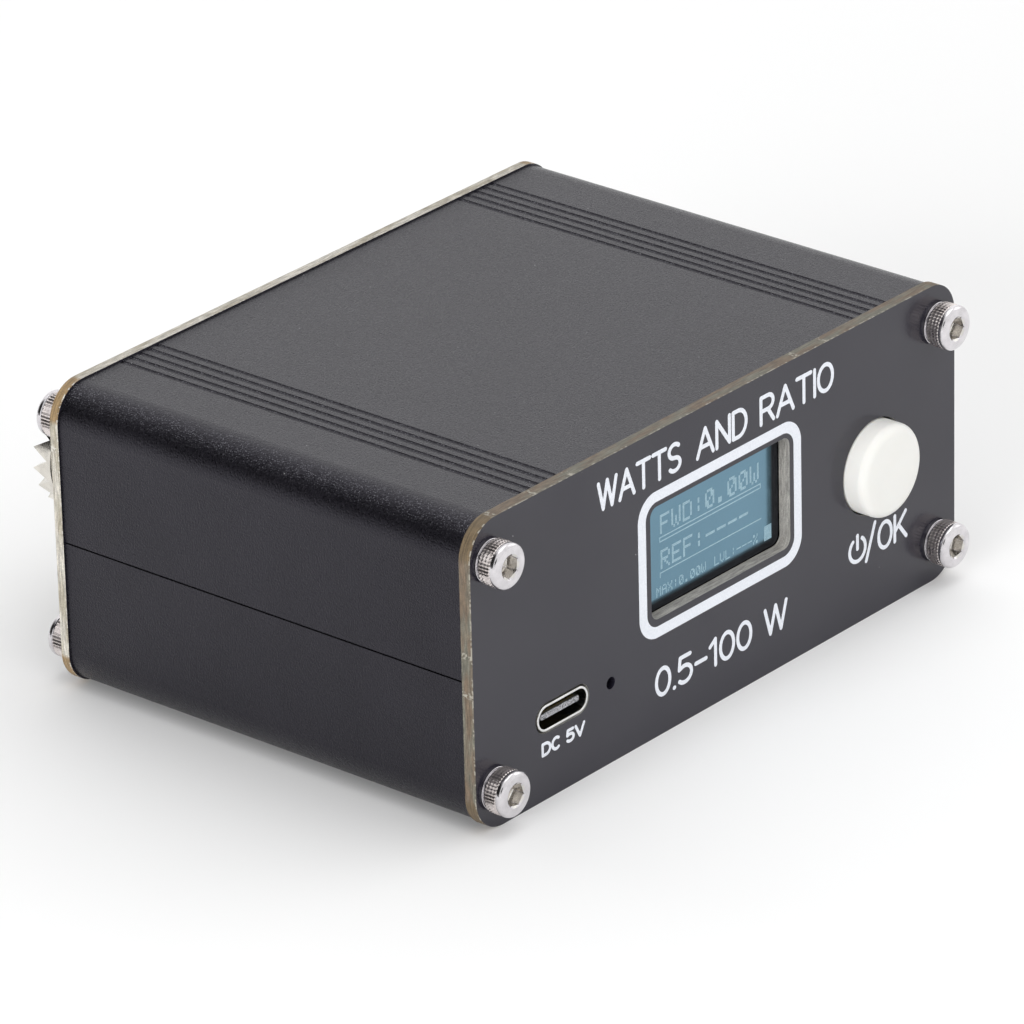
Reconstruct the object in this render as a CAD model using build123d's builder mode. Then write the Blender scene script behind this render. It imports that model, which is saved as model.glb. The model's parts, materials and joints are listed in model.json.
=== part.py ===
from build123d import *
import math
import os

# A pocket SWR meter: a split extruded aluminium case closed by two circuit-board
# panels, with a display and one push button in front and two UHF sockets behind.
# X runs to the right and Z up, seen from the front; Y runs from the front to the back.
# The origin is on the resting surface, below the middle of the whole object.

# ---- Case -----------------------------------------------------------------------
PANEL_WIDTH = 88.0
PANEL_HEIGHT = 38.0
PANEL_RADIUS = 4.5
FRONT_THICKNESS = 1.6
REAR_THICKNESS = 1.2
SHELL_LENGTH = 60.0
SHELL_WIDTH = 87.6
SHELL_BOTTOM = 0.2
SHELL_TOP = 37.8
SHELL_RADIUS = 4.4
SHELL_WALL = 1.8
SEAM_HEIGHT = 18.85
GROOVE_PITCH = 1.5
GROOVE_COUNT = 5
GROOVE_WIDTH = 0.7
GROOVE_DEPTH = 0.16
GROOVE_GROUP_X = 30.0
SEAM_GAP = 0.2
SEAM_GAP_DEPTH = 0.5

# ---- Screws ---------------------------------------------------------------------
SCREW_X = 40.6
SCREW_Z = 14.05
SHANK_RADIUS = 1.5
SHANK_LENGTH = 8.0
HEAD_RADIUS = 2.75
HEAD_HEIGHT = 3.0
HEX_ACROSS_FLATS = 2.5
HEX_DEPTH = 1.7
BOSS_RADIUS = 2.3

# ---- Rear sockets ---------------------------------------------------------------
SOCKET_X = 22.4
SOCKET_REACH = 16.7
BARREL_RADIUS = 7.94
SEAT_RADIUS = 7.75
SEAT_REACH = 4.0
FLANGE_RADIUS = 9.75
FLANGE_THICKNESS = 2.0
MOUTH_RADIUS = 6.3
MOUTH_DEPTH = 4.3
TOOTH_COUNT = 18
TOOTH_DEPTH = 2.25
TOOTH_SHARPNESS = 0.94
TOOTH_TURN = 5.4
INSULATOR_RADIUS = 5.0
CONTACT_RADIUS = 2.7
CONTACT_BORE_RADIUS = 2.0
CONTACT_BORE_DEPTH = 9.0
CONTACT_TAIL_RADIUS = 1.9
LINE_RADIUS = 1.0
NUT_ACROSS_FLATS = 19.0
NUT_THICKNESS = 3.0
WASHER_RADIUS = 9.6
WASHER_THICKNESS = 0.6

# ---- Places along the depth -----------------------------------------------------
TOTAL_DEPTH = HEAD_HEIGHT + FRONT_THICKNESS + SHELL_LENGTH + REAR_THICKNESS + SOCKET_REACH
FRONT_FACE = HEAD_HEIGHT - TOTAL_DEPTH / 2
SHELL_FRONT = FRONT_FACE + FRONT_THICKNESS
SHELL_REAR = SHELL_FRONT + SHELL_LENGTH
REAR_FACE = SHELL_REAR + REAR_THICKNESS
SOCKET_END = REAR_FACE + SOCKET_REACH
MID_HEIGHT = PANEL_HEIGHT / 2

# ---- Front controls -------------------------------------------------------------
WINDOW_X = -0.05
WINDOW_Z = 21.72
WINDOW_WIDTH = 25.4
WINDOW_HEIGHT = 14.05
WINDOW_RADIUS = 1.2
BUTTON_X = 28.6
BUTTON_HOLE_RADIUS = 6.0
CAP_RADIUS = 5.75
CAP_PROUD = 2.9
CAP_LENGTH = 5.3
CAP_WALL = 1.1
STEM_SIDE = 3.8
LED_X = -20.25
LED_Z = 10.0
LED_HOLE_RADIUS = 0.75

# ---- Boards ---------------------------------------------------------------------
MAIN_BOTTOM = 7.3
MAIN_THICKNESS = 1.2
MAIN_TOP = MAIN_BOTTOM + MAIN_THICKNESS
MAIN_WIDTH = 83.2
MAIN_FRONT = FRONT_FACE + 9.5
MAIN_REAR = FRONT_FACE + 58.0
TAB_FRONT = FRONT_FACE + 2.0
TAB_X = -27.0
TAB_WIDTH = 20.0
CONTROL_FRONT = FRONT_FACE + 6.9
CONTROL_THICKNESS = 1.6
CONTROL_REAR = CONTROL_FRONT + CONTROL_THICKNESS
CONTROL_X = 10.75
CONTROL_WIDTH = 52.5
CONTROL_BOTTOM = 4.6
CONTROL_HEIGHT = 29.0
HEADER_PITCH = 2.54
HEADER_SIDE = 2.5
PIN_SIDE = 0.64

# ---- Display --------------------------------------------------------------------
DISPLAY_X = 0.9
GLASS_FRONT = FRONT_FACE + 1.7
GLASS_THICKNESS = 1.5
GLASS_WIDTH = 26.7
GLASS_HEIGHT = 19.26
GLASS_BOTTOM = 9.37
DISPLAY_BOARD_SIDE = 27.3
DISPLAY_BOARD_BOTTOM = 5.9
DISPLAY_BOARD_THICKNESS = 1.2
DISPLAY_BOARD_FRONT = GLASS_FRONT + GLASS_THICKNESS
DISPLAY_BOARD_REAR = DISPLAY_BOARD_FRONT + DISPLAY_BOARD_THICKNESS
DISPLAY_PIN_COUNT = 4
DISPLAY_PIN_Z = 31.9
RIBBON_WIDTH = 12.0
RIBBON_THICKNESS = 0.16
RIBBON_LAP = 4.0

# ---- Switch ---------------------------------------------------------------------
SWITCH_SIDE = 12.0
HOUSING_HEIGHT = 3.0
COVER_THICKNESS = 0.3
HOUSING_FRONT = CONTROL_FRONT - HOUSING_HEIGHT
COVER_FRONT = HOUSING_FRONT - COVER_THICKNESS
CAVITY_RADIUS = 3.7
CAVITY_DEPTH = 2.0
STEM_HOLE_RADIUS = 2.75
PLUNGER_FOOT_RADIUS = 3.3
PLUNGER_FOOT_HEIGHT = 0.8
DOME_RADIUS = 3.4
DOME_HEIGHT = 0.6
DOME_SHEET = 0.15
DOME_SLOPE = 45.0
TERMINAL_SPACING = 12.4
TERMINAL_PITCH = 5.0

# ---- USB socket -----------------------------------------------------------------
USB_X = -28.8
USB_WIDTH = 8.94
USB_HEIGHT = 3.26
USB_LENGTH = 7.35
USB_WALL = 0.3
USB_PROUD = 0.1
USB_CLEARANCE = 0.25
USB_Z = MAIN_TOP + USB_HEIGHT / 2
TONGUE_WIDTH = 6.69
TONGUE_THICKNESS = 0.7
TONGUE_RECESS = 0.5
CONTACT_ROW = 12
CONTACT_PITCH = 0.5

# ---- Battery --------------------------------------------------------------------
BATTERY_X = 16.0
BATTERY_Y = FRONT_FACE + 27.0
BATTERY_WIDTH = 40.0
BATTERY_DEPTH = 28.0
BATTERY_THICKNESS = 5.4
PAD_THICKNESS = 1.0
PLUG_X = -12.0
PLUG_Y = FRONT_FACE + 19.0
LEAD_RADIUS = 0.6

# ---- Coupler --------------------------------------------------------------------
LINE_Y = SHELL_REAR - 8.0
CORE_OUTER_RADIUS = 6.35
CORE_INNER_RADIUS = 3.6
CORE_WIDTH = 4.8
LINE_CORE_X = -8.0
SAMPLE_CORE_X = 14.0
SAMPLE_CORE_Y = FRONT_FACE + 50.0
WIRE_SIDE = 0.5
WIRE_PLAY = 0.03
TURN_COUNT = 14
TURN_SPREAD = 300.0


def upright(y):
    """A plane across the depth at y: local X is X, local Y is Z, normal to the front."""
    return Plane.XZ.offset(-y)


def finish(part, name):
    """Labels one piece and writes it under the same name."""
    part.label = name
    export_step(part, f"parts/{name}.step")


os.makedirs("parts", exist_ok=True)


# ---- Case shells: one extruded section, cut at the seam --------------------------
def make_shell(name, side):
    """side is 1 for the upper half and -1 for the lower one."""
    middle = (SHELL_TOP + SHELL_BOTTOM) / 2
    height = SHELL_TOP - SHELL_BOTTOM
    screw_z = MID_HEIGHT + side * SCREW_Z
    boss_edge = screw_z - side * BOSS_RADIUS
    outer_edge = SHELL_TOP if side > 0 else SHELL_BOTTOM
    boss_height = abs(outer_edge - boss_edge)
    corner_depth = abs(outer_edge - screw_z)
    wall_x = SHELL_WIDTH / 2 - SHELL_WALL / 2
    slot_height = 1.35
    rib_height = 0.8
    rib_reach = 1.8
    rib_z = boss_edge - side * (slot_height + rib_height / 2)
    tongue_width = 0.6
    tongue_height = 0.7
    play = 0.1
    overlap = 0.2
    # An arc through the two edges of a groove and its deepest point
    groove_radius = (GROOVE_WIDTH ** 2 / 4 + GROOVE_DEPTH ** 2) / (2 * GROOVE_DEPTH)
    groove_centre = outer_edge + side * (groove_radius - GROOVE_DEPTH)
    with BuildPart() as shell:
        with BuildSketch(upright(SHELL_FRONT)):
            with Locations((0, middle)):
                RectangleRounded(SHELL_WIDTH, height, SHELL_RADIUS)
                RectangleRounded(
                    SHELL_WIDTH - 2 * SHELL_WALL,
                    height - 2 * SHELL_WALL,
                    SHELL_RADIUS - SHELL_WALL,
                    mode=Mode.SUBTRACT,
                )
            # Screw bosses in the two corners, flat on top as the lip of the card slot
            for x_side in (-1, 1):
                boss_width = SHELL_WIDTH / 2 - SCREW_X
                with Locations((x_side * SCREW_X, screw_z)):
                    Circle(BOSS_RADIUS)
                with Locations((x_side * (SCREW_X + boss_width / 2), outer_edge - side * boss_height / 2)):
                    Rectangle(boss_width, boss_height)
                with Locations((x_side * (SCREW_X - BOSS_RADIUS / 2), outer_edge - side * corner_depth / 2)):
                    Rectangle(BOSS_RADIUS, corner_depth)
                with Locations((x_side * (SHELL_WIDTH / 2 - SHELL_WALL - (rib_reach - overlap) / 2), rib_z)):
                    Rectangle(rib_reach + overlap, rib_height)
            # The boss blocks square off the outer corners, so the outline rounds them again
            with Locations((0, middle)):
                RectangleRounded(SHELL_WIDTH, height, SHELL_RADIUS, mode=Mode.INTERSECT)
            # This half only
            with Locations((0, SEAM_HEIGHT + side * height / 2)):
                Rectangle(SHELL_WIDTH, height, mode=Mode.INTERSECT)
            # A tongue on one side wall and a groove in the other register the halves
            with Locations((side * wall_x, SEAM_HEIGHT - side * tongue_height / 2)):
                Rectangle(tongue_width, tongue_height)
            with Locations((-side * wall_x, SEAM_HEIGHT + side * (tongue_height + play) / 2)):
                Rectangle(tongue_width + 2 * play, tongue_height + play, mode=Mode.SUBTRACT)
            # The outer edges of the seam stand back, so that it shows as a thin line
            with Locations((-SHELL_WIDTH / 2, SEAM_HEIGHT), (SHELL_WIDTH / 2, SEAM_HEIGHT)):
                Rectangle(2 * SEAM_GAP_DEPTH, SEAM_GAP, mode=Mode.SUBTRACT)
            # Screw holes
            with Locations((-SCREW_X, screw_z), (SCREW_X, screw_z)):
                Circle(SHANK_RADIUS, mode=Mode.SUBTRACT)
            # Shallow decorative grooves along the broad face
            for x_side in (-1, 1):
                with Locations((x_side * GROOVE_GROUP_X, groove_centre)):
                    with GridLocations(GROOVE_PITCH, 1, GROOVE_COUNT, 1):
                        Circle(groove_radius, mode=Mode.SUBTRACT)
        extrude(amount=-SHELL_LENGTH)
    finish(shell.part, name)


make_shell("upper_shell", 1)
make_shell("lower_shell", -1)


# ---- Panels -----------------------------------------------------------------------
PANEL_HOLE_RADIUS = 1.65
SOCKET_HOLE_RADIUS = BARREL_RADIUS + 0.06

with BuildPart() as front_panel:
    with BuildSketch(upright(FRONT_FACE)):
        with Locations((0, MID_HEIGHT)):
            RectangleRounded(PANEL_WIDTH, PANEL_HEIGHT, PANEL_RADIUS)
            with GridLocations(2 * SCREW_X, 2 * SCREW_Z, 2, 2):
                Circle(PANEL_HOLE_RADIUS, mode=Mode.SUBTRACT)
        with Locations((WINDOW_X, WINDOW_Z)):
            RectangleRounded(WINDOW_WIDTH, WINDOW_HEIGHT, WINDOW_RADIUS, mode=Mode.SUBTRACT)
        with Locations((BUTTON_X, MID_HEIGHT)):
            Circle(BUTTON_HOLE_RADIUS, mode=Mode.SUBTRACT)
        with Locations((USB_X, USB_Z)):
            SlotOverall(USB_WIDTH + 2 * USB_CLEARANCE, USB_HEIGHT + 2 * USB_CLEARANCE, mode=Mode.SUBTRACT)
        with Locations((LED_X, LED_Z)):
            Circle(LED_HOLE_RADIUS, mode=Mode.SUBTRACT)
    extrude(amount=-FRONT_THICKNESS)
finish(front_panel.part, "front_panel")

with BuildPart() as rear_panel:
    with BuildSketch(upright(SHELL_REAR)):
        with Locations((0, MID_HEIGHT)):
            RectangleRounded(PANEL_WIDTH, PANEL_HEIGHT, PANEL_RADIUS)
            with GridLocations(2 * SCREW_X, 2 * SCREW_Z, 2, 2):
                Circle(PANEL_HOLE_RADIUS, mode=Mode.SUBTRACT)
            with GridLocations(2 * SOCKET_X, 1, 2, 1):
                Circle(SOCKET_HOLE_RADIUS, mode=Mode.SUBTRACT)
    extrude(amount=-REAR_THICKNESS)
finish(rear_panel.part, "rear_panel")


# ---- Socket-head screws, four at each panel ---------------------------------------
def make_screws(name, seat, outward):
    """seat is the panel face that the heads sit on; outward is 1 to the front, -1 to the back."""
    rim_height = 0.25
    waist_height = 0.15
    waist_radius = 2.6
    shoulder_radius = 0.5
    tip_chamfer = 0.3
    with BuildPart() as screws:
        with BuildSketch(upright(seat)):
            with Locations((0, MID_HEIGHT)):
                with GridLocations(2 * SCREW_X, 2 * SCREW_Z, 2, 2):
                    Circle(HEAD_RADIUS)
        extrude(amount=outward * HEAD_HEIGHT)
        outer_edges = screws.edges().filter_by(GeomType.CIRCLE).group_by(Axis.Y)
        fillet(outer_edges[0 if outward > 0 else -1], shoulder_radius)
        # A thin bright rim at the foot of the head, set off by a shallow waist
        with BuildSketch(upright(seat - outward * rim_height)):
            with Locations((0, MID_HEIGHT)):
                with GridLocations(2 * SCREW_X, 2 * SCREW_Z, 2, 2):
                    Circle(HEAD_RADIUS + 0.1)
                    Circle(waist_radius, mode=Mode.SUBTRACT)
        extrude(amount=outward * waist_height, mode=Mode.SUBTRACT)
        with BuildSketch(upright(seat)):
            with Locations((0, MID_HEIGHT)):
                with GridLocations(2 * SCREW_X, 2 * SCREW_Z, 2, 2):
                    Circle(SHANK_RADIUS)
        extrude(amount=-outward * SHANK_LENGTH)
        tip_edges = screws.edges().filter_by(GeomType.CIRCLE).group_by(Axis.Y)
        chamfer(tip_edges[-1 if outward > 0 else 0], tip_chamfer)
        with BuildSketch(upright(seat - outward * HEAD_HEIGHT)):
            with Locations((0, MID_HEIGHT)):
                with GridLocations(2 * SCREW_X, 2 * SCREW_Z, 2, 2):
                    RegularPolygon(HEX_ACROSS_FLATS / 2, 6, major_radius=False)
        extrude(amount=-outward * HEX_DEPTH, mode=Mode.SUBTRACT)
    finish(screws.part, name)


make_screws("front_screws", FRONT_FACE, 1)
make_screws("rear_screws", REAR_FACE, -1)


# ---- Push button ------------------------------------------------------------------
CAP_FRONT = FRONT_FACE - CAP_PROUD
CAP_REAR = CAP_FRONT + CAP_LENGTH
CAP_TOP_THICKNESS = 1.4
CAP_EDGE_RADIUS = 0.55
CAP_BOSS_SIDE = STEM_SIDE + 2.4
CAP_BOSS_RADIUS = 0.8
STEM_FRONT = CAP_FRONT + CAP_TOP_THICKNESS + 0.2
FOOT_FRONT = HOUSING_FRONT + 0.05
SWITCH_CORNER_RADIUS = 0.6
FOOT_REAR = FOOT_FRONT + PLUNGER_FOOT_HEIGHT

with BuildPart() as button_cap:
    with BuildSketch(upright(CAP_FRONT)):
        with Locations((BUTTON_X, MID_HEIGHT)):
            Circle(CAP_RADIUS)
    extrude(amount=-CAP_LENGTH)
    fillet(button_cap.edges().filter_by(GeomType.CIRCLE).group_by(Axis.Y)[0], CAP_EDGE_RADIUS)
    with BuildSketch(upright(CAP_REAR)):
        with Locations((BUTTON_X, MID_HEIGHT)):
            Circle(CAP_RADIUS - CAP_WALL)
            RectangleRounded(CAP_BOSS_SIDE, CAP_BOSS_SIDE, CAP_BOSS_RADIUS, mode=Mode.SUBTRACT)
    extrude(amount=CAP_LENGTH - CAP_TOP_THICKNESS, mode=Mode.SUBTRACT)
    with BuildSketch(upright(CAP_REAR)):
        with Locations((BUTTON_X, MID_HEIGHT)):
            Rectangle(STEM_SIDE, STEM_SIDE)
    extrude(amount=CAP_REAR - STEM_FRONT, mode=Mode.SUBTRACT)
finish(button_cap.part, "button_cap")

with BuildPart() as switch_plunger:
    with BuildSketch(upright(FOOT_FRONT)):
        with Locations((BUTTON_X, MID_HEIGHT)):
            Circle(PLUNGER_FOOT_RADIUS)
    extrude(amount=-PLUNGER_FOOT_HEIGHT)
    with BuildSketch(upright(STEM_FRONT)):
        with Locations((BUTTON_X, MID_HEIGHT)):
            Rectangle(STEM_SIDE, STEM_SIDE)
    extrude(amount=-(FOOT_FRONT - STEM_FRONT))
finish(switch_plunger.part, "switch_plunger")

with BuildPart() as switch_cover:
    with BuildSketch(upright(COVER_FRONT)):
        with Locations((BUTTON_X, MID_HEIGHT)):
            RectangleRounded(SWITCH_SIDE, SWITCH_SIDE, SWITCH_CORNER_RADIUS)
            Circle(STEM_HOLE_RADIUS, mode=Mode.SUBTRACT)
    extrude(amount=-COVER_THICKNESS)
finish(switch_cover.part, "switch_cover")

with BuildPart() as switch_housing:
    with BuildSketch(upright(HOUSING_FRONT)):
        with Locations((BUTTON_X, MID_HEIGHT)):
            RectangleRounded(SWITCH_SIDE, SWITCH_SIDE, SWITCH_CORNER_RADIUS)
    extrude(amount=-HOUSING_HEIGHT)
    with BuildSketch(upright(HOUSING_FRONT)):
        with Locations((BUTTON_X, MID_HEIGHT)):
            Circle(CAVITY_RADIUS)
    extrude(amount=-CAVITY_DEPTH, mode=Mode.SUBTRACT)
finish(switch_housing.part, "switch_housing")

# A pressed sheet dome on the floor of the housing's cavity
DOME_FLOOR = HOUSING_FRONT + CAVITY_DEPTH
with BuildPart() as switch_dome:
    with BuildSketch(upright(DOME_FLOOR)):
        with Locations((BUTTON_X, MID_HEIGHT)):
            Circle(DOME_RADIUS)
    extrude(amount=DOME_HEIGHT, taper=DOME_SLOPE)
    with BuildSketch(upright(DOME_FLOOR)):
        with Locations((BUTTON_X, MID_HEIGHT)):
            Circle(DOME_RADIUS - math.sqrt(2) * DOME_SHEET)
    extrude(amount=DOME_HEIGHT - DOME_SHEET, taper=DOME_SLOPE, mode=Mode.SUBTRACT)
finish(switch_dome.part, "switch_dome")

TERMINAL_THICKNESS = 0.4
TERMINAL_WIDTH = 0.9
TERMINAL_PLAY = 0.3
TERMINAL_FRONT = CONTROL_FRONT - 1.0
TERMINAL_REAR = CONTROL_REAR + 1.2
with BuildPart() as switch_terminals:
    with BuildSketch(upright(TERMINAL_FRONT)):
        with Locations((BUTTON_X, MID_HEIGHT)):
            with GridLocations(TERMINAL_SPACING, TERMINAL_PITCH, 2, 2):
                Rectangle(TERMINAL_THICKNESS, TERMINAL_WIDTH)
    extrude(amount=-(TERMINAL_REAR - TERMINAL_FRONT))
finish(switch_terminals.part, "switch_terminals")


# ---- Display module ---------------------------------------------------------------
with BuildPart() as display_glass:
    with BuildSketch(upright(GLASS_FRONT)):
        with Locations((DISPLAY_X, GLASS_BOTTOM + GLASS_HEIGHT / 2)):
            Rectangle(GLASS_WIDTH, GLASS_HEIGHT)
    extrude(amount=-GLASS_THICKNESS)
finish(display_glass.part, "display_glass")

DISPLAY_BOARD_Z = DISPLAY_BOARD_BOTTOM + DISPLAY_BOARD_SIDE / 2
DISPLAY_BOARD_CORNER = 1.0
DISPLAY_HOLE_SPACING = 23.3
DISPLAY_HOLE_RADIUS = 1.0
PIN_HOLE_RADIUS = PIN_SIDE * 0.75
with BuildPart() as display_board:
    with BuildSketch(upright(DISPLAY_BOARD_FRONT)):
        with Locations((DISPLAY_X, DISPLAY_BOARD_Z)):
            RectangleRounded(DISPLAY_BOARD_SIDE, DISPLAY_BOARD_SIDE, DISPLAY_BOARD_CORNER)
            with GridLocations(DISPLAY_HOLE_SPACING, DISPLAY_HOLE_SPACING, 2, 2):
                Circle(DISPLAY_HOLE_RADIUS, mode=Mode.SUBTRACT)
        with Locations((DISPLAY_X, DISPLAY_PIN_Z)):
            with GridLocations(HEADER_PITCH, 1, DISPLAY_PIN_COUNT, 1):
                Circle(PIN_HOLE_RADIUS, mode=Mode.SUBTRACT)
    extrude(amount=-DISPLAY_BOARD_THICKNESS)
finish(display_board.part, "display_board")

# A flexible tail from the glass, folded under the board's lower edge to its back
RIBBON_FRONT = DISPLAY_BOARD_FRONT - 0.1
RIBBON_REAR = DISPLAY_BOARD_REAR + RIBBON_THICKNESS / 2
FOLD_Z = DISPLAY_BOARD_BOTTOM - 0.3
FOLD_RADIUS = (RIBBON_REAR - RIBBON_FRONT) / 2
RIBBON_PLANE = Plane.YZ.offset(DISPLAY_X - RIBBON_WIDTH / 2)
with BuildPart() as display_ribbon:
    with BuildSketch(RIBBON_PLANE):
        with BuildLine():
            tail = Line((RIBBON_FRONT, GLASS_BOTTOM), (RIBBON_FRONT, FOLD_Z))
            fold = ThreePointArc(
                tail @ 1,
                ((RIBBON_FRONT + RIBBON_REAR) / 2, FOLD_Z - FOLD_RADIUS),
                (RIBBON_REAR, FOLD_Z),
            )
            Line(fold @ 1, (RIBBON_REAR, FOLD_Z + RIBBON_LAP))
        trace(line_width=RIBBON_THICKNESS)
    extrude(amount=RIBBON_WIDTH)
finish(display_ribbon.part, "display_ribbon")

with BuildPart() as display_header:
    with BuildSketch(upright(DISPLAY_BOARD_REAR)):
        with Locations((DISPLAY_X, DISPLAY_PIN_Z)):
            Rectangle(DISPLAY_PIN_COUNT * HEADER_PITCH, HEADER_SIDE)
            with GridLocations(HEADER_PITCH, 1, DISPLAY_PIN_COUNT, 1):
                Rectangle(PIN_SIDE, PIN_SIDE, mode=Mode.SUBTRACT)
    extrude(amount=-(CONTROL_FRONT - DISPLAY_BOARD_REAR))
finish(display_header.part, "display_header")

DISPLAY_PIN_FRONT = DISPLAY_BOARD_FRONT - 0.6
with BuildPart() as display_pins:
    with BuildSketch(upright(DISPLAY_PIN_FRONT)):
        with Locations((DISPLAY_X, DISPLAY_PIN_Z)):
            with GridLocations(HEADER_PITCH, 1, DISPLAY_PIN_COUNT, 1):
                Rectangle(PIN_SIDE, PIN_SIDE)
    extrude(amount=-(CONTROL_REAR + 1.0 - DISPLAY_PIN_FRONT))
finish(display_pins.part, "display_pins")


# ---- Control board, upright, and its right-angle header -----------------------------
BOARD_PIN_COUNT = 8
BOARD_PIN_Z = MAIN_TOP + 1.3
BEND_Y = CONTROL_REAR + HEADER_SIDE + 1.0
with BuildPart() as control_board:
    with BuildSketch(upright(CONTROL_FRONT)):
        with Locations((CONTROL_X, CONTROL_BOTTOM + CONTROL_HEIGHT / 2)):
            Rectangle(CONTROL_WIDTH, CONTROL_HEIGHT)
        with Locations((BUTTON_X, MID_HEIGHT)):
            with GridLocations(TERMINAL_SPACING, TERMINAL_PITCH, 2, 2):
                Rectangle(TERMINAL_THICKNESS + TERMINAL_PLAY, TERMINAL_WIDTH + TERMINAL_PLAY, mode=Mode.SUBTRACT)
        with Locations((DISPLAY_X, DISPLAY_PIN_Z)):
            with GridLocations(HEADER_PITCH, 1, DISPLAY_PIN_COUNT, 1):
                Circle(PIN_HOLE_RADIUS, mode=Mode.SUBTRACT)
        with Locations((CONTROL_X, BOARD_PIN_Z)):
            with GridLocations(HEADER_PITCH, 1, BOARD_PIN_COUNT, 1):
                Circle(PIN_HOLE_RADIUS, mode=Mode.SUBTRACT)
    extrude(amount=-CONTROL_THICKNESS)
finish(control_board.part, "control_board")

with BuildPart() as board_header:
    with BuildSketch(upright(CONTROL_REAR)):
        with Locations((CONTROL_X, MAIN_TOP + 0.05 + HEADER_SIDE / 2)):
            Rectangle(BOARD_PIN_COUNT * HEADER_PITCH, HEADER_SIDE)
            with GridLocations(HEADER_PITCH, 1, BOARD_PIN_COUNT, 1):
                Rectangle(PIN_SIDE, PIN_SIDE, mode=Mode.SUBTRACT)
    extrude(amount=-HEADER_SIDE)
finish(board_header.part, "board_header")

BOARD_PIN_FRONT = CONTROL_FRONT - 0.7
BOARD_PIN_FOOT = MAIN_BOTTOM - 1.0
with BuildPart() as board_pins:
    with BuildSketch(Plane.YZ.offset(CONTROL_X)):
        with Locations((BOARD_PIN_FRONT, BOARD_PIN_Z - PIN_SIDE / 2)):
            Rectangle(BEND_Y + PIN_SIDE / 2 - BOARD_PIN_FRONT, PIN_SIDE, align=(Align.MIN, Align.MIN))
        with Locations((BEND_Y - PIN_SIDE / 2, BOARD_PIN_FOOT)):
            Rectangle(PIN_SIDE, BOARD_PIN_Z + PIN_SIDE / 2 - BOARD_PIN_FOOT, align=(Align.MIN, Align.MIN))
    pin = extrude(amount=PIN_SIDE / 2, both=True, mode=Mode.PRIVATE)
    with GridLocations(HEADER_PITCH, 1, BOARD_PIN_COUNT, 1):
        add(pin)
finish(board_pins.part, "board_pins")


# ---- Main board, lying in the card slots --------------------------------------------
BATTERY_PLUG_PITCH = 2.0
with BuildPart() as main_board:
    with BuildSketch(Plane.XY.offset(MAIN_BOTTOM)):
        with Locations((0, (MAIN_FRONT + MAIN_REAR) / 2)):
            Rectangle(MAIN_WIDTH, MAIN_REAR - MAIN_FRONT)
        with Locations((TAB_X, (TAB_FRONT + MAIN_FRONT) / 2)):
            Rectangle(TAB_WIDTH, MAIN_FRONT - TAB_FRONT)
        with Locations((CONTROL_X, BEND_Y)):
            with GridLocations(HEADER_PITCH, 1, BOARD_PIN_COUNT, 1):
                Circle(PIN_HOLE_RADIUS, mode=Mode.SUBTRACT)
    extrude(amount=MAIN_THICKNESS)
finish(main_board.part, "main_board")


# ---- USB socket ---------------------------------------------------------------------
USB_FRONT = FRONT_FACE - USB_PROUD
USB_REAR = USB_FRONT + USB_LENGTH
with BuildPart() as usb_shell:
    with BuildSketch(upright(USB_FRONT)):
        with Locations((USB_X, USB_Z)):
            SlotOverall(USB_WIDTH, USB_HEIGHT)
            SlotOverall(USB_WIDTH - 2 * USB_WALL, USB_HEIGHT - 2 * USB_WALL, mode=Mode.SUBTRACT)
    extrude(amount=-USB_LENGTH)
    fillet(usb_shell.edges().group_by(Axis.Y)[0], 0.1)
finish(usb_shell.part, "usb_shell")

TONGUE_FRONT = USB_FRONT + TONGUE_RECESS
TONGUE_BASE = 1.3
with BuildPart() as usb_tongue:
    with BuildSketch(upright(TONGUE_FRONT)):
        with Locations((USB_X, USB_Z)):
            RectangleRounded(TONGUE_WIDTH, TONGUE_THICKNESS, 0.2)
    extrude(amount=-(USB_REAR - TONGUE_BASE - TONGUE_FRONT))
    with BuildSketch(upright(USB_REAR - TONGUE_BASE)):
        with Locations((USB_X, USB_Z)):
            SlotOverall(USB_WIDTH - 2 * USB_WALL, USB_HEIGHT - 2 * USB_WALL)
    extrude(amount=-TONGUE_BASE)
finish(usb_tongue.part, "usb_tongue")

STRIP_WIDTH = 0.26
STRIP_THICKNESS = 0.06
STRIP_FRONT = TONGUE_FRONT + 0.4
with BuildPart() as usb_contacts:
    with BuildSketch(upright(STRIP_FRONT)):
        with Locations((USB_X, USB_Z)):
            with GridLocations(CONTACT_PITCH, TONGUE_THICKNESS + STRIP_THICKNESS, CONTACT_ROW, 2):
                Rectangle(STRIP_WIDTH, STRIP_THICKNESS)
    extrude(amount=-(USB_REAR - TONGUE_BASE - STRIP_FRONT))
finish(usb_contacts.part, "usb_contacts")


# ---- Parts on the main board ----------------------------------------------------------
def make_block(name, x, y, width, depth, height, bevel):
    """A moulded component body that stands on the main board, bevelled round its top."""
    with BuildPart() as block:
        with BuildSketch(Plane.XY.offset(MAIN_TOP)):
            with Locations((x, y)):
                Rectangle(width, depth)
        extrude(amount=height)
        chamfer(block.edges().group_by(Axis.Z)[-1], bevel)
    finish(block.part, name)


CHIP_X = -26.0
CHIP_Y = FRONT_FACE + 30.0
CHIP_SIDE = 7.0
LEAD_PITCH = 0.8
LEADS_PER_SIDE = 8
LEAD_OUT = 1.0
make_block("charge_led", LED_X, TAB_FRONT + 0.8, 1.6, 1.2, 2.2, 0.1)
make_block("charger_chip", -30.0, FRONT_FACE + 16.0, 5.0, 4.0, 1.5, 0.2)
make_block("charger_coil", -21.0, FRONT_FACE + 16.0, 4.4, 4.4, 2.2, 0.4)
make_block("controller_chip", CHIP_X, CHIP_Y, CHIP_SIDE, CHIP_SIDE, 1.1, 0.15)
make_block("crystal", -35.5, CHIP_Y, 4.6, 11.0, 3.4, 0.6)

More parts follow.
